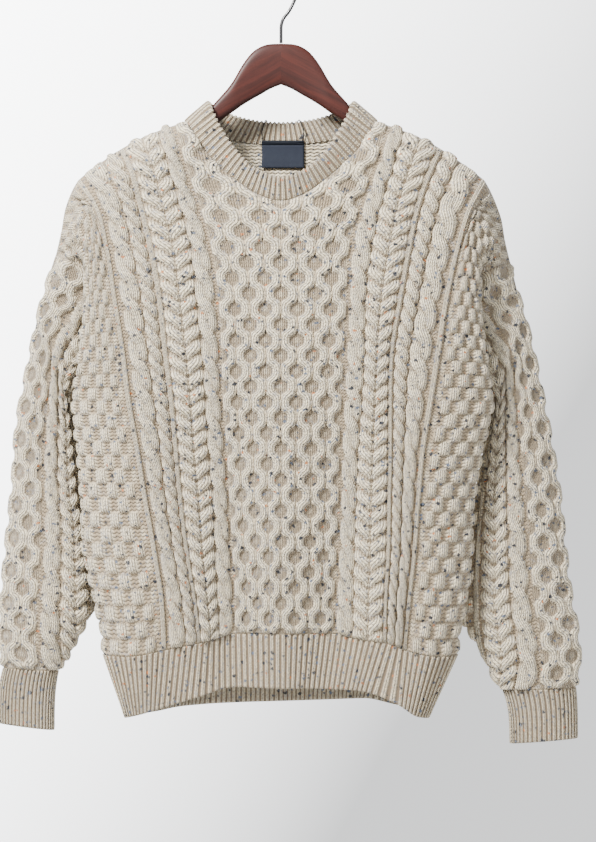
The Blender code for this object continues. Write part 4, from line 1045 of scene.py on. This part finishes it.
def sleeve_rings(outer_line, inner_line, armhole):
    """Rings from the cuff up to the armhole: inner + place x (outer - inner), bulged to the front and back.

    Near the armhole the place and bulge are the armhole's own; further down they are an oval's.
    """
    fractions = np.linspace(0, 1, SLEEVE_ROWS + 1)
    outer, inner = along(outer_line, fractions), along(inner_line, fractions)
    count = len(armhole)
    turn = 2 * np.pi * np.arange(count) / count
    foot = armhole[0]
    axis = armhole[count // 2] - foot
    place = (armhole - foot) @ axis / (axis @ axis)
    bulge = armhole - foot - place[:, None] * axis
    blend = ease(fractions / ARMHOLE_BLEND)[:, None]
    depth = smooth(fractions, SLEEVE_DEPTH[:, 0], SLEEVE_DEPTH[:, 1])[:, None]
    oval_place = 0.5 - 0.5 * np.cos(turn)
    oval_side = -np.sign(np.sin(turn)) * np.abs(np.sin(turn)) ** 0.8 * depth
    mixed = place * (1 - blend) + oval_place * blend
    rings = inner[:, None] + mixed[..., None] * (outer - inner)[:, None]
    rings = rings + bulge * (1 - blend)[..., None]
    rings[..., 1] += oval_side * blend
    return rings[::-1]


def ring_places(rings):
    """Distance round each ring from the top of the arm: negative on the side before it, positive after."""
    count = rings.shape[1]
    closed = np.concatenate([rings, rings[:, :1]], axis=1)
    steps = np.linalg.norm(np.diff(closed, axis=1), axis=2)
    reach = np.concatenate([np.zeros((len(rings), 1)), np.cumsum(steps, axis=1)], axis=1)[:, :count]
    return reach - reach[:, count // 2][:, None]


sleeves = {}
for side, edge, outer_line, inner_line in (
    ("left", 0, LEFT_OUTER, LEFT_INNER), ("right", -1, RIGHT_OUTER, RIGHT_INNER),
):
    front_edge = front_grid[ROWS_BELOW::2, edge]
    back_edge = back_grid[ROWS_BELOW::2, edge]
    armhole = np.concatenate([front_edge, back_edge[-2:0:-1]])
    rings = sleeve_rings(outer_line, inner_line, armhole)
    normals = grid_normals(rings, closed=True)
    if side == "left":
        normals = -normals
    # Where the sleeve joins the panels, both walls get one direction, so that no step shows at the seam
    half = len(armhole) // 2
    ends = {}
    for key, panel_normals, sleeve_part in (
        ("front", front_normals, normals[-1][: half + 1]),
        ("back", back_normals, np.concatenate([normals[-1][half:], normals[-1][:1]])[::-1]),
    ):
        fine = np.arange(2 * half + 1)
        ends[key] = unit(panel_normals[ROWS_BELOW:, edge] + between(fine, fine[::2], sleeve_part))
    ends["back"][0] = ends["front"][0]
    ends["back"][-1] = ends["front"][-1]
    front_normals[ROWS_BELOW:, edge] = ends["front"]
    back_normals[ROWS_BELOW:, edge] = ends["back"]
    normals[-1] = np.concatenate([ends["front"][::2], ends["back"][::2][-2:0:-1]])
    sleeves[side] = (rings, normals)

# %% [markdown]
# ## Knit the two panels
#
# Front and back are knitted from one chart. The back's grid is turned round, so that it faces outwards and
# its chart reads from left to right there too.

# %% Knit the two panels
for names, grid, normals, is_front in (
    (("front_knitting", "front_panel"), front_grid, front_normals, True),
    (("back_knitting", "back_panel"), back_grid, back_normals, False),
):
    s, share = np.meshgrid(columns, shares)
    c, top = chart_height(s.ravel(), share.ravel(), is_front)
    c, top = c.reshape(s.shape), top.reshape(s.shape)
    fade = seam_fade(s, c, top)
    if not is_front:
        grid, normals, s, c, fade = (a[:, ::-1] for a in (grid, normals, -s, c, fade))
    chart = body_chart(), HONEYCOMB_S, BASKET_START
    piece = knitted_shell(names, grid, normals, s, c, fade, chart)

# %% [markdown]
# ## Knit the two sleeves
#
# The sleeve's chart is measured along its own surface: up the arm from the cuff, and round it from the top.
# The knitting hangs a little stretched, so the rows are further apart than on the panels.


# %% Knit the two sleeves
SLEEVE_CELLS_S, SLEEVE_GROUND_S = 51.5, 124.5
SLEEVE_STRETCH = 1.08


def sleeve_chart():
    """Strands round a sleeve, from the top of the arm: honeycomb, rope, plait and a narrow rib."""
    strands = wave_strands(range(-5, 6, 2))
    for side in (-1, 1):
        strands += rope_strands(side * 68.0, 22.0, 34.2, 1, 0.1)
        strands += rope_strands(side * 91.2, 22.0, 16.5, side)
        strands += rope_strands(side * 103.8, 22.0, 16.5, -side)
        strands += narrow_rib(side * 119.5, side * 122.4)
    return strands


for side, (rings, normals) in sleeves.items():
    places = ring_places(rings)
    steps = np.linalg.norm(np.diff(rings, axis=0), axis=2)
    lengths = np.concatenate([np.zeros((1, rings.shape[1])), np.cumsum(steps, axis=0)])
    c = lengths / SLEEVE_STRETCH
    s = places if side == "right" else -places
    top = lengths[-1][None]
    fade = ease(lengths / 5.0) * ease((top - lengths) / 6.0)
    if side == "left":
        rings, normals, s, c, fade = (a[:, ::-1] for a in (rings, normals, s, c, fade))
    chart = sleeve_chart(), SLEEVE_CELLS_S, SLEEVE_GROUND_S
    names = "sleeve_knitting_" + side, "sleeve_" + side
    piece = knitted_shell(names, rings, normals, s, c, fade, chart, ring=True)

# %% [markdown]
# ## Ribs at hem, cuffs and neck
#
# Knit-one-purl-one rib pulls itself together: the knit columns stand up as round cords and the purl columns
# sink out of sight between them. Across one rib the height is a rounded wave, and a rib's stitches are a V
# on each cord. Rib looks alike on both sides, so a shell's inside is rib too, half a rib further on.


# %% Ribs at hem, cuffs and neck
RIB_STEPS = 6
RIB_HEIGHT = 1.7


def rib_wave(phase):
    """Height over one rib, 0 to 1: a round cord for the knit column and a low groove for the purl column."""
    from_crest = np.abs((phase % 1) - 0.5) * 2
    return np.clip(1 - (from_crest / 0.68) ** 2.4, 0, 1) ** 0.8


def rib_stitch(corner_phase):
    """Stitch number across at each face corner: the V fills the knit column and stops at its edges."""
    column = np.floor(corner_phase.mean(axis=1, keepdims=True))
    return (column + np.clip((corner_phase - column - 0.5) / 0.58 + 0.5, 0, 1)).ravel()


def carried_on(corner_phase, whole):
    """Phases at each face's corners: on a ring's last face, those that began again get the whole added."""
    return corner_phase + (corner_phase < corner_phase.max(axis=1, keepdims=True) - 5) * whole


def rib_shell(names, base, normals, phase, up, fade, ring=False):
    """Closed shell of rib: phase counts ribs across, up is the height in millimetres along the rib.

    The inner side is rib as well, half a rib further on: where the outside has its knit column, the inside
    has its groove.
    """
    wave, inner_wave = rib_wave(phase), rib_wave(phase + 0.5)
    outer = base + normals * (RIB_HEIGHT * wave * fade)[..., None]
    inner = base - normals * (WALL + 0.6 * RIB_HEIGHT * inner_wave * fade)[..., None]
    piece, faces = shell_object(names, wool, outer, inner, ring, 1)
    across, upward, hollow_shade = [], [], []
    # Each side gets painted shade in its rib grooves, weaker on the inner side
    sides = ((faces[0], 0.0, wave, 1.0), (faces[1] - wave.size, 0.5, inner_wave, 0.4))
    for group, shift, own_wave, shade_strength in sides:
        corner_phase = carried_on(phase.ravel()[group] + shift, phase.max() + 1 / RIB_STEPS)
        across.append(rib_stitch(corner_phase))
        upward.append(up.ravel()[group.ravel()] / COURSE)
        hollow_shade.append(shade_strength * (1 - own_wave.ravel()[group.ravel()]) ** 0.5)
    across, upward, hollow_shade = (np.concatenate(values) for values in (across, upward, hollow_shade))
    set_stitches(piece, across, upward, np.zeros(len(across)), hollow_shade)
    print(names[0], "has", len(piece.data.polygons), "faces")
    return piece


# %% [markdown]
# ## Hem
#
# The hem is two single walls of rib, knitted on below the panels. Each hangs from its panel's lower edge to
# its own height: the back's is lower, so its inside shows below the front. A table says where the lower edge
# hangs, and the wall runs straight down to it.

# %% Hem
HEM_RIBS = 76
HEM_ROWS = 32
HEM = np.array((
    # s, front_x, front_y, front_z, back_x, back_y, back_z
    (-292.5, -163, 8, -820, -163, 8, -820),
    (-259, -173, -18, -824, -158, 22, -824),
    (-226, -158, -33, -820, -140, 29, -822),
    (-193, -135, -36, -813, -121, 31, -818),
    (-138, -96, -36, -801, -92, 33, -815),
    (-70, -50, -31, -789, -49, 29, -812),
    (0, 0, -38, -790, 0, 33, -811),
    (70, 50, -31, -791, 50, 30, -809),
    (138, 98, -36, -795, 94, 34, -808),
    (193, 131, -36, -809, 122, 31, -813),
    (226, 149, -33, -821, 139, 28, -817),
    (259, 164, -18, -824, 152, 21, -821),
    (292.5, 155, 8, -818, 155, 8, -818),
), float)
for names, edge, edge_normals, first in (
    (("hem_ribbing_front", "hem_rib_front"), front_grid[0], front_normals[0], 1),
    (("hem_ribbing_back", "hem_rib_back"), back_grid[0], back_normals[0], 4),
):
    reach = reach_of(edge)
    at = np.linspace(0, reach[-1], HEM_RIBS * RIB_STEPS + 1)
    top = between(at, reach, edge)
    top_normals = unit(between(at, reach, edge_normals))
    bottom = smooth(np.interp(at, reach, columns), HEM[:, 0], HEM[:, first : first + 3])
    share = np.linspace(0, 1, HEM_ROWS + 1)[:, None, None]
    grid = bottom + (top - bottom) * share
    own = grid_normals(grid) * (1 if first == 1 else -1)
    own = unit(own * (1 - share**2) + top_normals * share**2)
    for end in (0, -1):
        own[:, end] = top_normals[end]
    up = np.broadcast_to(np.linalg.norm(top - bottom, axis=1) * share[..., 0], grid.shape[:2])
    phase = np.broadcast_to(at / reach[-1] * HEM_RIBS, grid.shape[:2])
    if first == 4:
        grid, own, up = grid[:, ::-1], own[:, ::-1], up[:, ::-1]
    fade = 0.75 + 0.25 * ease(up / 3.0)
    piece = rib_shell(names, grid, own, phase, up, fade)

# %% [markdown]
# ## Cuffs
#
# A cuff is a ring of the same rib. It starts at the sleeve's last ring and closes in quickly towards the
# wrist, because rib is tight and the sleeve above it is full. Lower down it hangs as a flat oval.

# %% Cuffs
CUFF_OUTER = {"left": (-318, 20, -834), "right": (333, 20, -851)}
CUFF_INNER = {"left": (-257, 20, -842), "right": (259, 20, -857)}
CUFF_DEPTH = 13.0
CUFF_LENGTH = 58.0
CUFF_RIBS = 42
CUFF_ROWS = 28
for side, (rings, normals) in sleeves.items():
    closed = np.concatenate([rings[0], rings[0][:1]])
    closed_normals = np.concatenate([normals[0], normals[0][:1]])
    around = CUFF_RIBS * RIB_STEPS
    turn_share = np.arange(around) / around
    spots = np.linspace(0, 1, len(closed))
    top = between(turn_share, spots, closed)
    top_normals = unit(between(turn_share, spots, closed_normals))
    turn = 2 * np.pi * turn_share
    outer, inner = np.array(CUFF_OUTER[side], float), np.array(CUFF_INNER[side], float)
    bottom = inner + (0.5 - 0.5 * np.cos(turn))[:, None] * (outer - inner)
    bottom[:, 1] += -np.sign(np.sin(turn)) * np.abs(np.sin(turn)) ** 0.75 * CUFF_DEPTH
    t = np.linspace(1, 0, CUFF_ROWS + 1)[:, None]
    travel = np.stack([1 - (1 - t) ** 3.2, 1 - (1 - t) ** 2.4, t], axis=2)
    grid = top + (bottom - top) * travel
    own = grid_normals(grid, closed=True)
    if side == "left":
        own = -own
    own[-1] = top_normals
    up = np.broadcast_to((1 - t) * CUFF_LENGTH, grid.shape[:2])
    phase = np.broadcast_to(turn_share * CUFF_RIBS, grid.shape[:2])
    if side == "left":
        grid, own = grid[:, ::-1], own[:, ::-1]
    fade = 0.8 + 0.2 * ease(up / 3.0)
    piece = rib_shell(("cuff_ribbing_" + side, "cuff_" + side), grid, own, phase, up, fade, True)

# %% [markdown]
# ## Neckband
#
# The neckband is rib that was folded over and sewn down inside, so it is twice as thick as the hem and its
# upper edge is round. Its section is an outer side, a half circle over the top and an inner side, and the
# section is carried round the neckline while its foot follows the knitted edges.

# %% Neckband
BAND_HALF_WIDTH = 80.0
BAND_FRONT_Y, BAND_BACK_Y = -35.0, 33.0
BAND_FRONT_Z, BAND_SIDE_Z, BAND_BACK_Z = -223.5, -137.0, -156.5
BAND_RIBS = 84
BAND_STEPS = 8
BAND_THICKNESS = 5.0
SIDE_POINTS = 15


def band_edge(foot):
    """Upper edge above each foot point: an oval from above, low in front and highest beside the neck."""
    front_side = foot[:, 1] < 0
    sine = np.clip(foot[:, 0] / np.abs(foot[:, 0]).max(), -1, 1)
    y = np.where(front_side, BAND_FRONT_Y, BAND_BACK_Y)
    y = y * (1 - np.abs(sine) ** NECK_ROUNDNESS) ** (1 / NECK_ROUNDNESS)
    lift = 1 - (1 - sine**2) ** 0.87
    front_z = BAND_FRONT_Z + (BAND_SIDE_Z - BAND_FRONT_Z) * lift
    back_z = BAND_BACK_Z + (BAND_SIDE_Z - BAND_BACK_Z) * lift
    return np.stack([BAND_HALF_WIDTH * sine, y, np.where(front_side, front_z, back_z)], axis=1)


neck = np.abs(columns) < NECK_SIDE_S + 0.1
seam = np.concatenate([front_grid[-1][neck], back_grid[-1][neck][-2:0:-1]])
seam_normals = np.concatenate([front_normals[-1][neck], back_normals[-1][neck][-2:0:-1]])
middle = neck.sum() // 2
seam = np.roll(seam, -middle, axis=0)
seam_normals = np.roll(seam_normals, -middle, axis=0)
closed = np.concatenate([seam, seam[:1]])
closed_normals = np.concatenate([seam_normals, seam_normals[:1]])
reach = reach_of(closed)
count = BAND_RIBS * BAND_STEPS
at = np.arange(count) / count * reach[-1]
foot = between(at, reach, closed)
out = unit(between(at, reach, closed_normals))
edge = band_edge(foot)
rise = unit(edge - foot)
outward = unit(out - (out * rise).sum(axis=1, keepdims=True) * rise)
length = np.linalg.norm(edge - foot, axis=1)

radius = BAND_THICKNESS / 2
straight = np.linspace(0, 1, SIDE_POINTS)
cap = np.linspace(0, np.pi, 11)[1:-1]
up_share = np.concatenate([straight, np.ones(len(cap)), straight[::-1]])
cap_up = np.concatenate([0 * straight, np.sin(cap), 0 * straight])
cap_out = np.concatenate([1 + 0 * straight, np.cos(cap), 0 * straight - 1])
phase = np.broadcast_to(np.arange(count) / BAND_STEPS, (len(up_share), count))
wave = rib_wave(phase)
size = radius - 0.3 + 1.6 * wave * np.where(cap_out < -0.5, 0.5, 1.0)[:, None]
size *= (1 - 0.12 * ease(1 - np.minimum(up_share[:, None] * length / 6.0, 1)))
level = up_share[:, None] * (length - radius + 1.2) - 1.2
leaning = unit(out * (1 - up_share)[:, None, None] + outward * up_share[:, None, None])
band = (
    foot + rise * (level + cap_up[:, None] * size)[..., None]
    + leaning * (cap_out[:, None] * size)[..., None]
)
numbers = np.arange(band.shape[0] * count).reshape(-1, count)
numbers = np.column_stack([numbers, numbers[:, 0]])
numbers = np.concatenate([numbers, numbers[:1]])
band_faces = cells(numbers)
neckband = mesh_object("neck_ribbing", band.reshape(-1, 3), [band_faces], wool)
corners = band_faces.ravel()
corner_phase = carried_on(phase.ravel()[corners].reshape(-1, 4), BAND_RIBS)
section = np.stack([cap_out * radius, level.mean(axis=1) + cap_up * radius], axis=1)
up = np.broadcast_to(reach_of(section)[:, None], phase.shape)
# Painted shade in the grooves between the ribs
hollow_shade = (1 - wave.ravel()[corners]) ** 0.7
upward = up.ravel()[corners] / COURSE
set_stitches(neckband, rib_stitch(corner_phase), upward, np.zeros(corners.size), hollow_shade)
dress(neckband, "neckband")
print("neckband: %d ribs round %.0f mm" % (BAND_RIBS, reach[-1]))

# %% [markdown]
# ## Label
#
# A woven navy label is sewn under the back of the neckband by its folded upper edge. It is thin and a little
# curved, because it follows the neck. Woven ribbon shows fine crossing threads and a slight shine, and the
# folded strip on top stands a little proud. That strip is the same ribbon at about half the brightness:
# painted shade under the neckband's seam. It carries no lettering.

# %% Label
LABEL_X = (-22.0, 26.0)
LABEL_Z = (-208.0, -177.0)
LABEL_FOLD_HEIGHT = 5.0


def ribbon_material(name, colour):
    """Woven ribbon: two crossed sine waves of threads in Object coordinates give colour and bump."""
    g = material_graph(name)
    place = g.place()
    warp = g.math("SINE", g.times(g.part(place, 0), 2 * math.pi / (0.55 * MM)))
    weft = g.math("SINE", g.times(g.part(place, 2), 2 * math.pi / (0.45 * MM)))
    weave = g.math("MULTIPLY_ADD", g.times(warp, weft), 0.5, 0.5)
    normal = g.bump(weave, 0.12 * MM, 0.5)
    shade = g.mix(weave, scaled(colour, 0.75), scaled(colour, 1.25))
    shade = g.mix(g.noise(place, 220.0, 3.0), shade, scaled(colour, 1.9), 0.35)
    return g.set(Base_Color=shade, Roughness=0.62, Normal=normal, Specular_IOR_Level=0.15)


def back_inner_y(x, z):
    """Depth of the back's inner side behind the label, less the neckband's half thickness."""
    honeycomb = smooth(z, FRONT_COLUMNS[:, 0], FRONT_COLUMNS[:, 1])
    s = x / honeycomb * HONEYCOMB_S
    top = top_height(s, BACK_NECK_DROP)
    share = 1 + (np.minimum(z - RIB_TOP_Z, top) - ARMPIT_C) / (top - ARMPIT_C)
    return body_points(s, share, False)[:, 1] - BAND_THICKNESS / 2


def ribbon_sheet(names, low, high, proud, thickness, curl, material):
    """Thin closed sheet in front of the back's inner side: a grid with rounded edges, bowed a little."""
    u, v = np.meshgrid(np.linspace(0, 1, 41), np.linspace(0, 1, 25))
    x = LABEL_X[0] + u * (LABEL_X[1] - LABEL_X[0])
    z = low + v * (high - low)
    y = back_inner_y(x.ravel(), z.ravel()).reshape(x.shape) - 1.1 - proud
    y = y - curl * (1 - v) ** 2 * (0.6 + 0.4 * np.cos(5.0 * u + 0.6))
    edge = np.minimum.reduce([u * 48, (1 - u) * 48, v * (high - low), (1 - v) * (high - low)])
    y = y - thickness * (1 - 0.6 * (1 - np.clip(edge / 0.8, 0, 1)) ** 2)
    base = np.stack([x, y, z], axis=2)
    inner = base[::COARSE, ::COARSE] + (0, thickness, 0)
    return shell_object(names, material, base, inner)[0]


fold_z = LABEL_Z[1] - LABEL_FOLD_HEIGHT
navy_ribbon = ribbon_material("navy_ribbon", (0.0175, 0.0215, 0.033))
# The fold's ribbon is the navy at about half brightness: painted shade under the neckband's seam
shaded_navy_ribbon = ribbon_material("shaded_navy_ribbon", (0.008, 0.010, 0.015))
label = ribbon_sheet(("neck_label", "label"), LABEL_Z[0], fold_z - 0.1, 0.0, 0.8, 0.9, navy_ribbon)
fold = ribbon_sheet(("neck_label_fold", "label_fold"), fold_z, LABEL_Z[1], 0.4, 0.9, 0.0, shaded_navy_ribbon)
print("label:", LABEL_X[1] - LABEL_X[0], "x", LABEL_Z[1] - LABEL_Z[0], "mm")

# %% [markdown]
# ## Hanger
#
# Each arm is cut from a plank, thin beside the hook and broad where it carries the shoulder, with every edge
# rounded over. Its section is a superellipse, a shape between an ellipse and a rectangle, carried along the
# arm's upper and lower line. The wood is stained dark red-brown under satin varnish, and its grain runs
# along the arm.

# %% Hanger
HANGER_ARM = np.array((
    # x, upper_z, lower_z, half_thickness
    (0.01, -71.0, -117.5, 7.0),
    (12.0, -71.4, -122.4, 7.0),
    (22.0, -74.0, -128.2, 7.2),
    (33.0, -81.5, -134.4, 7.6),
    (43.0, -94.5, -140.4, 8.2),
    (54.0, -113.5, -148.0, 9.0),
    (76.0, -140.0, -164.0, 8.5),
    (90.0, -158.0, -178.0, 8.5),
    (104.0, -171.0, -187.0, 8.5),
    (135.0, -179.0, -196.0, 10.5),
    (165.0, -188.5, -206.5, 12.0),
    (190.0, -203.5, -220.0, 12.0),
    (209.0, -216.0, -230.0, 10.5),
    (217.0, -223.5, -231.5, 6.5),
))


def wood_material(name):
    """Stained hardwood: bands of a noise stretched along the arm, fine pores, and varnish as a thin coat."""
    g = material_graph(name)
    uv = g.add("ShaderNodeUVMap", uv_map="stitches")
    grain = g.noise(g.add("ShaderNodeMapping", {0: uv, 3: (9.0, 120.0, 1.0)}), 1.0, 6.0, 0.65)
    pores = g.noise(g.add("ShaderNodeMapping", {0: uv, 3: (60.0, 900.0, 1.0)}), 1.0, 2.0)
    shade = g.mix(g.ramp(grain, 0.3, 0.7), (0.058, 0.0135, 0.0095), (0.026, 0.0070, 0.0055))
    shade = g.mix(g.ramp(pores, 0.6, 0.75), shade, (0.02, 0.006, 0.005), 0.5)
    return g.set(
        Base_Color=shade, Roughness=0.5, Normal=g.bump(grain, 0.15 * MM, 0.25),
        Specular_IOR_Level=0.22, Coat_Weight=0.08, Coat_Roughness=0.35,
    )


mahogany = wood_material("stained_mahogany")
stations = np.concatenate([[0.01], np.linspace(0.2, 217.0, 73)])
arm_rows = smooth(stations, HANGER_ARM[:, 0], HANGER_ARM[:, 1:])
around = 40
turn = 2 * np.pi * np.arange(around) / around
cosine, sine = np.cos(turn), np.sin(turn)
across = np.sign(cosine) * np.abs(cosine) ** 0.62 * 0.985
upright = np.sign(sine) * np.abs(sine) ** 0.62 * 0.985
upper, lower, half = arm_rows.T
tip = np.sqrt(np.clip(1 - ((stations - 205.0) / 12.4).clip(0, 1) ** 2, 0, 1))
middle_z, half_height = (upper + lower) / 2, (upper - lower) / 2 * tip
for side, node in ((-1, "hanger_arm_left"), (1, "hanger_arm_right")):
    y = (half * tip)[:, None] * across
    z = middle_z[:, None] + half_height[:, None] * upright
    x = np.broadcast_to((side * stations)[:, None], y.shape)
    points = np.stack([x, y, z], axis=2)
    groups = tube_faces(len(stations), around)
    if side < 0:
        groups = [group[:, ::-1] for group in groups]
    arm = mesh_object("wooden_" + node[7:], points.reshape(-1, 3), groups, mahogany)
    corners = groups[0].ravel()
    # The grain follows the arm down, and each arm is cut from another place of the plank
    length_at = np.repeat(stations, around)[corners] * MM
    height_at = (z.ravel()[corners] + 100) * MM + 0.55 * length_at
    set_uv(arm, np.column_stack([length_at + 0.3 * (side > 0), height_at + 0.4 * MM * y.ravel()[corners]]))
    dress(arm, node)
print("hanger arms: %.0f mm from tip to tip" % (2 * stations[-1]))

# %% [markdown]
# ## Hook
#
# The hook is coated steel wire. Its frame solid already has the right bend, but with few sides, so a rounder
# tube takes its place on the same centre line, and its end is closed by a small dome.

# %% Hook
HOOK_WIRE = 3.8
HOOK_RADIUS = 17.0
HOOK_STEM = ((0.0, -70.6), (0.0, -55.0), (2.5, -43.7), (8.0, -36.5))


def wire_material(name):
    g = material_graph(name)
    speck = g.noise(g.place(), 900.0, 3.0)
    shade = g.mix(speck, (0.012, 0.012, 0.013), (0.03, 0.03, 0.032))
    normal = g.bump(speck, 0.05 * MM, 0.3)
    return g.set(Base_Color=shade, Roughness=0.36, Metallic=0.25, Normal=normal, Coat_Weight=0.3)


centre_z = HOOK_WIRE / 2 - HOOK_RADIUS
angles = np.radians(np.arange(-28, 186, 11))
arc = np.stack([HOOK_RADIUS * np.cos(angles), 0 * angles, centre_z + HOOK_RADIUS * np.sin(angles)], axis=1)
stem = np.array([(x, 0.0, z) for x, z in HOOK_STEM])
hook_route = along(np.concatenate([stem, arc]), np.linspace(0, 1, 120))
hook_reach = reach_of(hook_route)
to_end = hook_reach[-1] - hook_reach
hook_radius = HOOK_WIRE / 2 * np.sqrt(np.clip(1 - (1 - to_end / 1.9).clip(0, 1) ** 2, 0.02, 1))
hook_around = 20
hook = mesh_object(
    "wire_hook",
    tube(hook_route, np.repeat(hook_radius[:, None], hook_around, axis=1), hook_around).reshape(-1, 3),
    tube_faces(len(hook_route), hook_around),
    wire_material("black_coated_wire"),
)
dress(hook, "hanger_hook")
print("hook wire: %.0f mm long" % hook_reach[-1])

# %% [markdown]
# ## Floor, walls of light and world
#
# The real room is bright: a pale wall behind, one soft light from the upper left and a little fill. A pale
# world stands in for the wall, so the object can be seen from every side. It is brighter towards the upper
# left, as the wall is. The floor is far below and pale too. The key light is half a metre wide, so the
# cables' shadows are soft, but it comes from the side and above, because light from straight ahead would
# flatten the knitting.


# %% Floor, lights and world
FLOOR_COLOUR = (0.82, 0.82, 0.81)
g = material_graph("pale_floor")
shade = g.mix(g.noise(g.place(), 30.0, 4.0), scaled(FLOOR_COLOUR, 0.97), FLOOR_COLOUR)
pale = g.set(Base_Color=shade, Roughness=0.8)
floor_points = np.array(((-3, -3, -1.6), (3, -3, -1.6), (3, 3, -1.6), (-3, 3, -1.6))) * 1000
floor = mesh_object("floor", floor_points, [np.array([[0, 1, 2, 3]])], pale)


def soft_light(name, place, towards, size, power, colour):
    """Square area light that looks from its place towards a point."""
    data = bpy.data.lights.new(name, "AREA")
    data.size = size
    data.energy = power
    data.color = colour
    light = bpy.data.objects.new(name, data)
    direction = np.array(towards, float) - np.array(place, float)
    light.location = place
    yaw = math.atan2(-direction[0], direction[1])
    pitch = math.atan2(math.hypot(direction[0], direction[1]), -direction[2])
    light.rotation_euler = (pitch, 0.0, yaw)
    bpy.context.scene.collection.objects.link(light)
    return light


soft_light("key_light", (-1.25, -1.4, 1.15), (0.0, 0.0, -0.45), 0.5, 208.0, (1.0, 0.98, 0.95))
soft_light("fill_light", (1.9, -2.4, 0.5), (0.0, 0.0, -0.4), 2.0, 36.0, (0.97, 0.98, 1.0))
soft_light("back_light", (0.6, 2.6, 0.9), (0.0, 0.0, -0.5), 2.2, 60.0, (1.0, 1.0, 1.0))

world = bpy.data.worlds.new("pale_room")
g = Graph(world, "Background")
direction = g.add("ShaderNodeTexCoord")
behind = g.ramp(g.part(direction, 1), 0.90, 0.975)
slope = g.vector_math("DOT_PRODUCT", direction, (-27.0, 0.0, 15.0), output=1)
lit = g.math("MAXIMUM", g.math("ADD", slope, 3.4), 0.7)
g.set(Strength=g.math("MULTIPLY_ADD", behind, lit, 0.62), Color=(0.93, 0.94, 0.95, 1))
bpy.context.scene.world = world
